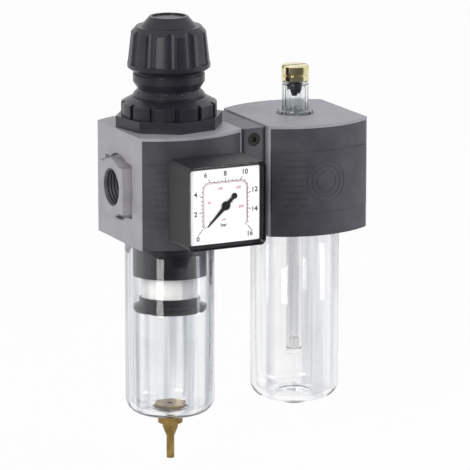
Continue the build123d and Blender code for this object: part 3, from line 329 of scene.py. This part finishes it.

# %% [markdown]
# The paint is like the moulded finishes, with one more question at each point: how far is it from
# the port's axis? Nearer than the port's radius, the paint gives way to cut metal, darkened as
# painted shade of the bore.

# %% Painted zinc
def painted_casting(name, dark, light, bore_metal_and_shade_colour, port_radius_mm, pitch_mm):
    material, tree, output, place = new_material(name)
    patches = add_node(tree, "ShaderNodeTexNoise", {"Scale": 1000 / PATCH_MM, "Detail": 3.0}, {"Vector": place})
    colour = add_node(tree, "ShaderNodeValToRGB", links={"Fac": patches.outputs["Fac"]},
                      stops=[(0.35, linear(dark)), (0.65, linear(light))])
    parts = add_node(tree, "ShaderNodeSeparateXYZ", links={"Vector": place})
    square_y = add_node(tree, "ShaderNodeMath", {1: 2.0}, {0: parts.outputs["Y"]}, operation="POWER")
    square_z = add_node(tree, "ShaderNodeMath", {1: 2.0}, {0: parts.outputs["Z"]}, operation="POWER")
    squares = add_node(tree, "ShaderNodeMath", operation="ADD",
                       links={0: square_y.outputs[0], 1: square_z.outputs[0]})
    inside = add_node(tree, "ShaderNodeMath", {1: (port_radius_mm * MM) ** 2}, {0: squares.outputs[0]},
                      operation="LESS_THAN")
    height = thread_and_peel(tree, place, parts, inside, pitch_mm)
    edge = add_node(tree, "ShaderNodeBevel", {"Radius": CAST_EDGE_MM * MM}, samples=4)
    bump = add_node(tree, "ShaderNodeBump", {"Strength": 1.0, "Distance": 1.0},
                    {"Height": height.outputs[0], "Normal": edge.outputs["Normal"]})
    # Inside the port: cut metal, with the bore's shade painted into its dark colour.
    paint = add_node(tree, "ShaderNodeMix", {"B": linear(bore_metal_and_shade_colour)},
                     {"Factor": inside.outputs[0], "A": colour.outputs["Color"]}, data_type="RGBA")
    shader = add_node(tree, "ShaderNodeBsdfPrincipled", {"Roughness": 0.42, "IOR": 1.5},
                      {"Base Color": paint.outputs["Result"], "Normal": bump.outputs["Normal"]})
    tree.links.new(shader.outputs["BSDF"], output.inputs["Surface"])
    print("finish", name)
    return material


# The third colour is the port's cut metal, darkened as painted shade of the bore.
painted_zinc = painted_casting("satin_paint_on_zinc", "#9b999d", "#a4a2a6", "#4b4c51", 10.0, 1.814)

# %% [markdown]
# ## Metals
# Turned brass, plated steel and turned aluminium: metallic shaders with fine lathe lines round the
# part's own axis. The true tool marks are too fine to show, so the lines are drawn 0.7 mm apart or
# more. The small patches of a lighter tone are the tarnish that handled metal gets.

# %% Metal
WAVE_PERIOD = 2 * math.pi / 20  # of the wave texture at scale 1
TARNISH_MM = 5.0


def metal(name, dark, light, roughness, line_mm, line_depth_mm, edge_mm):
    material, tree, output, place = new_material(name)
    patches = add_node(tree, "ShaderNodeTexNoise", {"Scale": 1000 / TARNISH_MM, "Detail": 3.0}, {"Vector": place})
    colour = add_node(tree, "ShaderNodeValToRGB", links={"Fac": patches.outputs["Fac"]},
                      stops=[(0.35, linear(dark)), (0.65, linear(light))])
    scale = WAVE_PERIOD / (line_mm * MM)
    lines = add_node(tree, "ShaderNodeTexWave", {"Scale": scale, "Distortion": 0.6, "Detail": 1.0},
                     {"Vector": place}, wave_type="BANDS", bands_direction="Z")
    edge = add_node(tree, "ShaderNodeBevel", {"Radius": edge_mm * MM}, samples=4)
    bump = add_node(tree, "ShaderNodeBump", {"Strength": 1.0, "Distance": line_depth_mm * MM},
                    {"Height": lines.outputs["Fac"], "Normal": edge.outputs["Normal"]})
    shader = add_node(tree, "ShaderNodeBsdfPrincipled", {"Metallic": 1.0, "Roughness": roughness},
                      {"Base Color": colour.outputs["Color"], "Normal": bump.outputs["Normal"]})
    tree.links.new(shader.outputs["BSDF"], output.inputs["Surface"])
    print("finish", name)
    return material


# Bright turned brass: pale yellow, nearly a mirror.
brass = metal("turned_brass", "#d8cb9c", "#e9dfb9", 0.12, 0.7, 0.002, 0.12)
# Aged brass of the drain: browner and duller.
dull_brass = metal("aged_brass", "#7d6539", "#987d4c", 0.20, 0.7, 0.003, 0.12)
# Zinc-plated steel: light grey, slightly cloudy.
steel = metal("zinc_plated_steel", "#a9aba6", "#bfc0bc", 0.3, 1.0, 0.002, 0.10)
# Olive passivated screws: dark, with a green cast.
olive_steel = metal("olive_passivated_steel", "#474d45", "#5a6157", 0.34, 1.0, 0.002, 0.10)
# Drawn spring wire: plain grey, with faint die marks.
spring_wire = metal("drawn_spring_wire", "#9a9a9c", "#acacae", 0.35, 1.2, 0.001, 0.05)
# Turned aluminium: whiter than steel, satin.
aluminium = metal("turned_aluminium", "#c2c3c6", "#d2d3d6", 0.32, 0.8, 0.002, 0.15)

# %% [markdown]
# ## Clear plastics
# The bowls are injection moulded from clear polycarbonate, with an IOR of about 1.58. A long path
# through the wall at the edges looks greyer, which a tint by facing gives, and the flow of the
# plastic leaves slight upright ripples. Grey upright bands along the ripples are painted into the
# colour as painted reflections of the studio. A true absorbing volume would be slower and noisier.
# Light passes on to what is inside because a shadow ray sees a nearly transparent surface.

# %% Clear plastic
def clear(name, face_colour, side_colour, rim_colour, painted_reflection_colour, roughness, ior, ripple_and_reflection_mm, ripple_depth_mm):
    """Clear plastic that greys from its face to its rim, with upright ripples and grey painted reflections along
    them.
    """
    material, tree, output, place = new_material(name)
    facing = add_node(tree, "ShaderNodeLayerWeight", {"Blend": 0.5})
    tint = add_node(tree, "ShaderNodeValToRGB", links={"Fac": facing.outputs["Facing"]},
                    stops=[(0.45, linear(face_colour)), (1.0, linear(rim_colour)), (0.80, linear(side_colour))])
    upright = add_node(tree, "ShaderNodeMapping", {"Scale": (1.0, 1.0, 0.03)}, {"Vector": place})
    ripples_and_painted_reflections = add_node(tree, "ShaderNodeTexNoise", {"Scale": 1000 / ripple_and_reflection_mm, "Detail": 1.0},
                      {"Vector": upright.outputs["Vector"]})
    bump = add_node(tree, "ShaderNodeBump", {"Strength": 1.0, "Distance": ripple_depth_mm * MM},
                    {"Height": ripples_and_painted_reflections.outputs["Fac"]})
    # Painted reflections: grey upright bands painted into the colour along the ripples.
    painted_reflections = add_node(tree, "ShaderNodeValToRGB", links={"Fac": ripples_and_painted_reflections.outputs["Fac"]},
                       stops=[(0.40, linear(painted_reflection_colour)), (0.48, WHITE)])
    colour = add_node(tree, "ShaderNodeVectorMath", operation="MULTIPLY",
                      links={0: tint.outputs["Color"], 1: painted_reflections.outputs["Color"]})
    shader = add_node(tree, "ShaderNodeBsdfPrincipled",
                      {"Transmission Weight": 1.0, "Roughness": roughness, "IOR": ior},
                      {"Base Color": colour.outputs["Vector"], "Normal": bump.outputs["Normal"]})
    through = add_node(tree, "ShaderNodeBsdfTransparent", {"Color": linear("#eef0f0")})
    path = add_node(tree, "ShaderNodeLightPath")
    surface = add_node(tree, "ShaderNodeMixShader", links={
        0: path.outputs["Is Shadow Ray"], 1: shader.outputs["BSDF"], 2: through.outputs["BSDF"]})
    tree.links.new(surface.outputs[0], output.inputs["Surface"])
    print("finish", name)
    return material


# The filter bowl is tinted a little greyer than the oil bowl, and its painted reflections are darker.
filter_bowl_plastic = clear("clear_polycarbonate_greyed", "#f8f9fa", "#d3d6d9", "#63676e", "#bcc0c6",
                            0.02, 1.58, 8.0, 0.12)
oil_bowl_plastic = clear("clear_polycarbonate", "#fdfdfd", "#d9dcde", "#63676e", "#e4e6ea",
                         0.02, 1.58, 8.0, 0.12)
# The dome is clear polyamide: thicker for its size, with a slight cast.
dome_plastic = clear("clear_polyamide_dome", "#f7faf9", "#d8dedc", "#8c9290", "#f4f6f6",
                     0.03, 1.51, 3.0, 0.05)
# The gauge window is a flat sheet that hardly shows. A low IOR keeps the dial readable behind it.
window_plastic = clear("flat_acrylic_window", "#fefefe", "#fdfdfd", "#f4f4f4", "#ffffff",
                       0.01, 1.12, 40.0, 0.001)

# %% [markdown]
# ## Modelling helpers
# An operator acts on whatever is selected, so everything is deselected before each step, and the
# points of a piece are selected by their place. Sharp edges are rounded with a Bevel modifier, which
# is applied at once.

# %% Selecting and softening
def nothing_selected():
    if bpy.context.mode != "OBJECT":
        bpy.ops.object.mode_set(mode="OBJECT")
    bpy.ops.object.select_all(action="DESELECT")


def edit_vertices(piece, chosen):
    """Opens a piece in edit mode with only the vertices selected for which chosen(co) is true."""
    bpy.ops.object.mode_set(mode="OBJECT")
    mesh = piece.data
    mesh.polygons.foreach_set("select", [False] * len(mesh.polygons))
    mesh.edges.foreach_set("select", [False] * len(mesh.edges))
    mesh.vertices.foreach_set("select", [bool(chosen(v.co)) for v in mesh.vertices])
    bpy.ops.object.mode_set(mode="EDIT")
    bpy.ops.mesh.select_mode(type="VERT")


def soften(piece, width_mm, angle=40, segments=2):
    """Rounds the sharp edges with a Bevel modifier, applies it and shades the piece smooth."""
    nothing_selected()
    piece.select_set(True)
    bpy.context.view_layer.objects.active = piece
    bevel = piece.modifiers.new("edges", "BEVEL")
    bevel.width = width_mm * MM
    bevel.segments = segments
    bevel.limit_method = "ANGLE"
    bevel.angle_limit = math.radians(angle)
    bpy.ops.object.modifier_apply(modifier=bevel.name)
    bpy.ops.object.shade_smooth_by_angle(angle=math.radians(35))

# %% [markdown]
# Round parts are modelled as on a lathe: one vertex is extruded along half of the outline, and the
# outline is spun once round its axis. The seam and the poles are then merged and the faces turned
# outwards. A primitive cylinder would need many loop cuts to get the same shape.

# %% Spinning
def spun(name, axis_x, outline, steps=96, closed=True):
    """Extrudes one vertex along an outline of (radius, height) points in mm and spins it round x = axis_x."""
    nothing_selected()
    radius, height = outline[0]
    bpy.ops.mesh.primitive_plane_add(size=MM, location=(axis_x + radius * MM, 0, height * MM))
    piece = bpy.context.object
    piece.name = piece.data.name = name
    bpy.ops.object.mode_set(mode="EDIT")
    bpy.ops.mesh.select_all(action="SELECT")
    bpy.ops.mesh.merge(type="CENTER")
    way = outline[1:] + (outline[:1] if closed else [])
    for next_radius, next_height in way:
        step = ((next_radius - radius) * MM, 0, (next_height - height) * MM)
        bpy.ops.mesh.extrude_vertices_move(TRANSFORM_OT_translate={"value": step})
        radius, height = next_radius, next_height
    bpy.ops.mesh.select_all(action="SELECT")
    bpy.ops.mesh.remove_doubles(threshold=0.002 * MM)
    bpy.ops.mesh.select_all(action="SELECT")
    bpy.ops.mesh.spin(steps=steps, angle=2 * math.pi, center=(axis_x, 0, 0), axis=(0, 0, 1))
    bpy.ops.mesh.select_all(action="SELECT")
    bpy.ops.mesh.remove_doubles(threshold=0.002 * MM)
    bpy.ops.mesh.normals_make_consistent(inside=False)
    bpy.ops.object.mode_set(mode="OBJECT")
    bpy.ops.object.transform_apply(location=True, rotation=True, scale=True)
    print("spun", name, len(piece.data.vertices), "vertices")
    return piece


def arc(centre_radius, centre_height, radius, start, end, count):
    """Points of an arc in an outline, by angle in degrees from the radial direction."""
    angles = [math.radians(start + (end - start) * k / count) for k in range(count + 1)]
    return [(centre_radius + radius * math.cos(a), centre_height + radius * math.sin(a)) for a in angles]

# %% [markdown]
# A new piece gets its finish, rides on one body of the frame and hides the CAD nodes it stands for.
# Its place comes from the box of such a node.

# %% Joining the frame
def finish_piece(piece, material, body, slot, *nodes):
    piece.data.materials.clear()
    piece.data.materials.append(material)
    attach(piece, body)
    if nodes:
        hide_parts(*nodes)


def axis_of(node):
    low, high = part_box(node)
    return (low.x + high.x) / 2

# %% [markdown]
# ## The two clear bowls
# Each bowl is injection moulded from clear polycarbonate, with a 3 mm wall, a neck that carries an
# O-ring and a slightly dished bottom. The CAD bowl is made of flat facets, which show as stripes in
# a clear part, so the bowl is spun again here from the same outline with 128 steps.

# %% Filter bowl and lubricator bowl
WALL, CORNER, DISH = 3.0, 8.0, 2.0
NECK, NECK_WALL, NECK_SHOULDER = 22.65, 2.9, 99.1


def bowl_outline(node, low, bottom):
    """Outline from the outer corner up the outside, over the neck and down the inside."""
    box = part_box(node)
    outer = (box[1].x - box[0].x) / 2 / MM
    top = box[1].z / MM
    rim = low + NECK_SHOULDER
    inner = outer - WALL
    corner = outer - CORNER
    corner_height = low + DISH + CORNER
    groove, groove_low, groove_high = NECK - 1.79, top - 3.95, top - 2.05
    points = arc(corner, corner_height, CORNER, -90, 0, 10)
    points += [(outer, rim - 0.4), (outer - 0.4, rim), (NECK, rim), (NECK, groove_low), (groove, groove_low),
               (groove, groove_high), (NECK, groove_high), (NECK, top - 0.3), (NECK - 0.3, top),
               (NECK - NECK_WALL, top), (NECK - NECK_WALL, rim - 2), (inner, rim - 5)]
    points += arc(corner, corner_height, CORNER - WALL, 0, -90, 8)
    return points + bottom


def finish_bowl(node, name, low, bottom, closed, plastic):
    """Spins a bowl, gives it its plastic and lets it ride on the body that has its node's name."""
    piece = spun(name, axis_of(node), bowl_outline(node, low, bottom), 128, closed)
    nothing_selected()
    piece.select_set(True)
    bpy.context.view_layer.objects.active = piece
    bpy.ops.object.shade_smooth_by_angle(angle=math.radians(35))
    finish_piece(piece, plastic, node, "clear_plastic", node)

# %% [markdown]
# The bottoms differ. The filter bowl has a hole for the drain fitting in a raised pad. The oil bowl
# is closed and has a low ring inside and a moulding boss below.

# %% Bowl bottoms
DRAIN_HOLE, DRAIN_SEAT, DRAIN_PAD = 5.15, 9.8, 10.5
filter_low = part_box("filter_bowl")[0].z / MM
finish_bowl("filter_bowl", "filter_bowl_spun", filter_low, [
    (DRAIN_SEAT, filter_low + WALL + 1.2), (DRAIN_SEAT, filter_low + WALL), (DRAIN_HOLE, filter_low + WALL),
    (DRAIN_HOLE, filter_low), (DRAIN_PAD, filter_low), (DRAIN_PAD, filter_low + 1.3)], True, filter_bowl_plastic)

BOSS, BOSS_HEIGHT = 8.0, 1.2
RING_OUTER, RING_INNER, RING_TOP = 10.3, 9.0, 6.0
oil_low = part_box("lubricator_bowl")[0].z / MM + BOSS_HEIGHT
finish_bowl("lubricator_bowl", "lubricator_bowl_spun", oil_low, [
    (RING_OUTER, oil_low + WALL + 1.3), (RING_OUTER, oil_low + RING_TOP), (RING_INNER, oil_low + RING_TOP),
    (RING_INNER, oil_low + WALL + 1.1), (0, oil_low + WALL), (0, oil_low - BOSS_HEIGHT),
    (BOSS - 0.4, oil_low - BOSS_HEIGHT), (BOSS, oil_low - 0.8), (BOSS, oil_low + 1.0)], False, oil_bowl_plastic)

# %% [markdown]
# ## The sight dome
# A little clear dome shows the oil drops. Its wall has sixteen fine upright flutes to grip. They
# are made by pulling every fourth column of points of the outer wall a little inwards.

# %% Sight dome
DOME_FLUTES = 16
FLUTE_DEPTH = 0.06
dome_low, dome_high = (corner.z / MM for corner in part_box("sight_dome"))
dome_radius = (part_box("sight_dome")[1].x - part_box("sight_dome")[0].x) / 2 / MM
ring_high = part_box("dome_ring")[1].z / MM
flute_low, flute_high = ring_high + 1.0, dome_high - 1.5
dome_x = axis_of("sight_dome")
dome = spun("sight_dome_fluted", dome_x, [
    (dome_radius, dome_low), (dome_radius, flute_low - 0.3), (dome_radius, flute_low + 0.5),
    (dome_radius, flute_high - 0.5), (dome_radius, flute_high + 0.3), (dome_radius, dome_high - 0.4),
    (dome_radius - 0.4, dome_high), (4.2, dome_high), (4.2, dome_high - 2.0), (dome_radius - 2.0, dome_high - 2.0),
    (dome_radius - 1.6, dome_high - 2.4), (dome_radius - 1.6, dome_low)], 4 * DOME_FLUTES)


def in_flute(co):
    angle = math.degrees(math.atan2(co.y, co.x - dome_x)) % (360 / DOME_FLUTES)
    outside = math.hypot(co.x - dome_x, co.y) > (dome_radius - 0.1) * MM
    between = flute_low + 0.2 < co.z / MM < flute_high - 0.2
    return outside and between and min(angle, 360 / DOME_FLUTES - angle) < 1


edit_vertices(dome, in_flute)
bpy.ops.transform.resize(value=(1 - FLUTE_DEPTH, 1 - FLUTE_DEPTH, 1), center_override=(dome_x, 0, 0))
nothing_selected()
dome.select_set(True)
bpy.context.view_layer.objects.active = dome
bpy.ops.object.shade_smooth_by_angle(angle=math.radians(35))
finish_piece(dome, dome_plastic, "frame", "clear_plastic", "sight_dome")

# %% [markdown]
# ## The filter element
# The filter element is a sleeve of sintered plastic beads. Its faces are not sharp: the beads round
# off at every edge. The CAD sleeve keeps its place, and a spun one with round rims stands for it.

# %% Filter element
element_low, element_high = (corner.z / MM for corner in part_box("filter_element"))
element_radius = (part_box("filter_element")[1].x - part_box("filter_element")[0].x) / 2 / MM
element = spun("filter_element_sleeve", axis_of("filter_element"), [
    (8.0, element_low), (element_radius, element_low), (element_radius, element_high), (8.0, element_high)], 96)
soften(element, 0.6, segments=3)
finish_piece(element, sintered, "frame", "white_filter", "filter_element")

# %% [markdown]
# ## The two springs
# The main spring stands on the piston and the valve spring lifts the poppet. A real spring gets
# shorter when what it carries comes down. The CAD coil can't; a merged copy of it is made here and
# shaded smooth, and keeps the coil's length.

# %% Springs
def squashed_spring(node, name):
    spring = bpy.data.objects.new(name, NODES[node].data.copy())
    spring.data.name = name
    bpy.context.scene.collection.objects.link(spring)
    nothing_selected()
    spring.select_set(True)
    bpy.context.view_layer.objects.active = spring
    bpy.ops.object.mode_set(mode="EDIT")
    bpy.ops.mesh.select_all(action="SELECT")
    bpy.ops.mesh.remove_doubles(threshold=0.001 * MM)
    bpy.ops.object.mode_set(mode="OBJECT")
    bpy.ops.object.shade_smooth_by_angle(angle=math.radians(35))
    finish_piece(spring, spring_wire, "frame", "spring_steel", node)
    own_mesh(spring)


squashed_spring("main_spring", "main_spring_coil")
squashed_spring("valve_spring", "valve_spring_coil")

# %% [markdown]
# ## The printed dial
# The scale is printed on the dial plate: a line that follows the square plate with round corners,
# a long tick every 2 bar, a short one at every bar, numbers from 0 to 16, and a second faint scale
# inside. One tick is modelled and copied round, the line is an inset plane, and the numbers are
# text turned to mesh. All are 0.03 mm high, as thick ink is.

# %% Dial places
INK = 0.03
SWEEP_START, SWEEP, BAR = -135.0, 270.0, 16
dial_low, dial_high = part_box("gauge_dial")
dial_face = ((dial_low.x + dial_high.x) / 2, dial_low.y, (dial_low.z + dial_high.z) / 2)
DIAL = Matrix.Translation(dial_face) @ Matrix.Rotation(math.pi / 2, 4, "X")
# Screen-printed ink: a thin, nearly matt layer. The red has faded to pink.
ink_black = moulded("screen_printed_ink_black", "#242126", "#2e2a30", 0.55, 0.6, 0.0005, 0.01)
ink_red = moulded("screen_printed_ink_red", "#a3566a", "#b0667a", 0.55, 0.6, 0.0005, 0.01)


def on_square(angle, half, corner=4.0):
    """Point of a square of this half width with round corners, at an angle clockwise from the top."""
    x, z = math.sin(angle), math.cos(angle)
    reach = half / max(abs(x), abs(z))
    flat = half - corner
    if min(abs(x), abs(z)) * reach > flat:
        along = (abs(x) + abs(z)) * flat
        reach = along + math.sqrt(along ** 2 - 2 * flat ** 2 + corner ** 2)
    return x * reach, z * reach


def dial_angle(bar):
    return math.radians(SWEEP_START + SWEEP * bar / BAR)


def thicken():
    bpy.ops.mesh.select_all(action="SELECT")
    bpy.ops.mesh.extrude_region_move(TRANSFORM_OT_translate={"value": (0, 0, INK * MM)})
    bpy.ops.mesh.select_all(action="SELECT")
    bpy.ops.mesh.normals_make_consistent(inside=False)
    bpy.ops.object.mode_set(mode="OBJECT")


print("dial centre in mm:", [round(v / MM, 2) for v in DIAL.translation])

# %% [markdown]
# The ticks stand at right angles to a round path that is pushed out to the square. One long and one
# short tick are modelled at the origin and copied to each place, each copy with its own mesh. Two
# flared strokes close the scale at each end.

# %% Ticks
def tick(width, length):
    """A short stroke that starts at its own origin and points up."""
    nothing_selected()
    bpy.ops.mesh.primitive_plane_add(size=MM, location=(0, 0, 0))
    bpy.ops.object.mode_set(mode="EDIT")
    bpy.ops.mesh.select_all(action="SELECT")
    bpy.ops.transform.translate(value=(0, 0.5 * MM, 0))
    bpy.ops.transform.resize(value=(width, length, 1), center_override=(0, 0, 0))
    thicken()
    return bpy.context.object


def copy_at(pattern, x, y, angle):
    copy = pattern.copy()
    copy.data = pattern.data.copy()
    bpy.context.scene.collection.objects.link(copy)
    copy.location = (x * MM, y * MM, 0)
    copy.rotation_euler = (0, 0, -angle)
    return copy


LINE_HALF = 12.8
long_tick, short_tick = tick(0.45, 2.2), tick(0.34, 1.2)
black_parts, red_parts = [], []
for k in range(1, 2 * BAR):
    bar = k / 2
    x, y = on_square(dial_angle(bar), LINE_HALF)
    if bar % 2 == 0:
        black_parts.append(copy_at(long_tick, x, y, dial_angle(bar)))
    else:
        black_parts.append(copy_at(short_tick, x, y, dial_angle(bar)))
LINE_END, FLARE_ANGLE = -11.4, 38.7
for side in (-1, 1):
    flare = math.radians(180 + FLARE_ANGLE * -side)
    black_parts.append(copy_at(long_tick, side * LINE_HALF, LINE_END, flare))
    black_parts.append(copy_at(long_tick, side * (LINE_HALF + 1.25), LINE_END - 1.56, flare))
print("ticks:", len(black_parts))

# %% [markdown]
# The scale's line is a square with round corners and an open bottom. A plane has its corners
# bevelled, is inset by the line's width, loses its inside and is cut off below: four operators, and
# no curve that would have to be turned into a mesh.

# %% Scale line
def scale_line(half, corner, width, cut):
    """A square outline with round corners, open below the height cut."""
    nothing_selected()
    bpy.ops.mesh.primitive_plane_add(size=2 * half * MM, location=(0, 0, 0))
    bpy.ops.object.mode_set(mode="EDIT")
    bpy.ops.mesh.select_all(action="SELECT")
    bpy.ops.mesh.bevel(offset=corner * MM, segments=8, affect="VERTICES")
    bpy.ops.mesh.select_all(action="SELECT")
    bpy.ops.mesh.inset(thickness=width * MM)
    bpy.ops.mesh.delete(type="FACE")
    bpy.ops.mesh.select_all(action="SELECT")
    bpy.ops.mesh.bisect(plane_co=(0, cut * MM, 0), plane_no=(0, 1, 0), clear_inner=True)
    thicken()
    return bpy.context.object


black_parts.append(scale_line(LINE_HALF + 0.2, 4.0, 0.4, LINE_END))
red_parts.append(scale_line(LINE_HALF - 0.5, 3.6, 0.35, LINE_END + 0.2))

# %% [markdown]
# The numbers are text objects in Blender's own plain font. They are turned to mesh before they are
# thickened, because a text object would be left out of the mesh files.

# %% Numbers
def printed(text, x, y, size):
    nothing_selected()
    bpy.ops.object.text_add(location=(x * MM, y * MM, 0))
    word = bpy.context.object
    word.data.body = text
    word.data.size = size * MM
    word.data.align_x = "CENTER"
    word.data.align_y = "CENTER"
    word.data.resolution_u = 3
    word.data.offset = 0.03 * size * MM
    bpy.ops.object.convert(target="MESH")
    bpy.ops.object.mode_set(mode="EDIT")
    bpy.ops.mesh.select_all(action="SELECT")
    bpy.ops.mesh.remove_doubles(threshold=0.001 * MM)
    thicken()
    return word


NUMBER_HALF, INNER_HALF, FULL_PSI = 16.9, 9.2, 232
END_PLACES = {0: (-15.6, -16.6), 16: (14.2, -16.2)}
for bar in range(0, BAR + 1, 2):
    x, y = END_PLACES.get(bar) or on_square(dial_angle(bar), NUMBER_HALF, 1.5)
    black_parts.append(printed(str(bar), x, y, 3.7))
black_parts.append(printed("bar", -0.8, -10.2, 2.9))
for psi in (0, 50, 100, 150, 200):
    x, y = on_square(math.radians(SWEEP_START + SWEEP * psi / FULL_PSI), INNER_HALF, 3.0)
    red_parts.append(printed(str(psi), x, y, 2.3))
red_parts.append(printed("psi", -0.8, -7.2, 2.0))

# %% [markdown]
# A print is one layer of ink, so each colour is joined to one piece. It is then stood up, moved
# on to the dial plate, and its place is applied, so that the finished object is at the origin.

# %% Joined prints
def joined(name, parts):
    nothing_selected()
    for part in parts:
        part.select_set(True)
    bpy.context.view_layer.objects.active = parts[-1]
    bpy.ops.object.join()
    piece = bpy.context.object
    piece.name = piece.data.name = name
    bpy.ops.object.transform_apply(location=True, rotation=True, scale=True)
    piece.matrix_world = DIAL
    bpy.ops.object.transform_apply(location=True, rotation=True, scale=True)
    print(name, len(piece.data.polygons), "faces")
    return piece


finish_piece(joined("dial_print_black", black_parts), ink_black, "frame", "dark_plastic")
finish_piece(joined("dial_print_red", red_parts), ink_red, "frame", "dark_plastic")
for pattern in (long_tick, short_tick):
    bpy.data.objects.remove(pattern, do_unlink=True)

# %% [markdown]
# ## Finishes on the CAD nodes
# Every CAD solid that keeps its own shape gets the finish of its real material. Those that a spun
# piece stands for get theirs too, so that nothing is left plain.

# %% Finishes on the CAD nodes
FINISHES = {
    painted_zinc: ["filter_regulator_body", "lubricator_body"],
    cover_nylon: ["regulator_front_cover", "regulator_rear_cover", "lubricator_front_cover", "lubricator_rear_cover"],
    spacer_paint: ["coupling_front_clamp", "coupling_rear_clamp"],
    black_nylon: ["bonnet", "panel_nut", "adjusting_knob", "knob_cap", "drip_nozzle"],
    gauge_abs: ["gauge_case", "gauge_bezel"],
    inner_nylon: ["deflector", "filter_baffle", "siphon_adapter"],
    sintered: ["filter_element", "siphon_strainer"],
    dial_card: ["gauge_dial"],
    pointer_paint: ["gauge_pointer", "gauge_arbor"],
    dull_brass: ["drain_fitting", "drain_stem"],
    olive_steel: ["coupling_screws"],
    brass: ["metering_screw", "gauge_socket", "valve_seat", "valve_poppet", "valve_guide",
            "gauge_movement", "gauge_sector", "bourdon_tube", "spring_seat"],
    steel: ["adjusting_spindle", "filter_bolt", "check_ball"],
    spring_wire: ["main_spring", "valve_spring"],
    aluminium: ["regulating_piston", "coupling_spacer", "oil_riser", "venturi_ring"],
    rubber: ["coupling_seals", "filter_bowl_seal", "lubricator_bowl_seal", "drain_seal", "dome_seal",
             "metering_seal", "piston_seal"],
    filter_bowl_plastic: ["filter_bowl"],
    oil_bowl_plastic: ["lubricator_bowl", "siphon_tube"],
    dome_plastic: ["sight_dome", "dome_ring"],
    window_plastic: ["gauge_window"],
}


covered = set()
for material, names in FINISHES.items():
    for name in names:
        mesh = NODES[name].data
        mesh.materials.clear()
        mesh.materials.append(material)
        covered.add(name)
print("CAD nodes with a finish:", len(covered), "left over:", sorted(set(NODES) - covered))
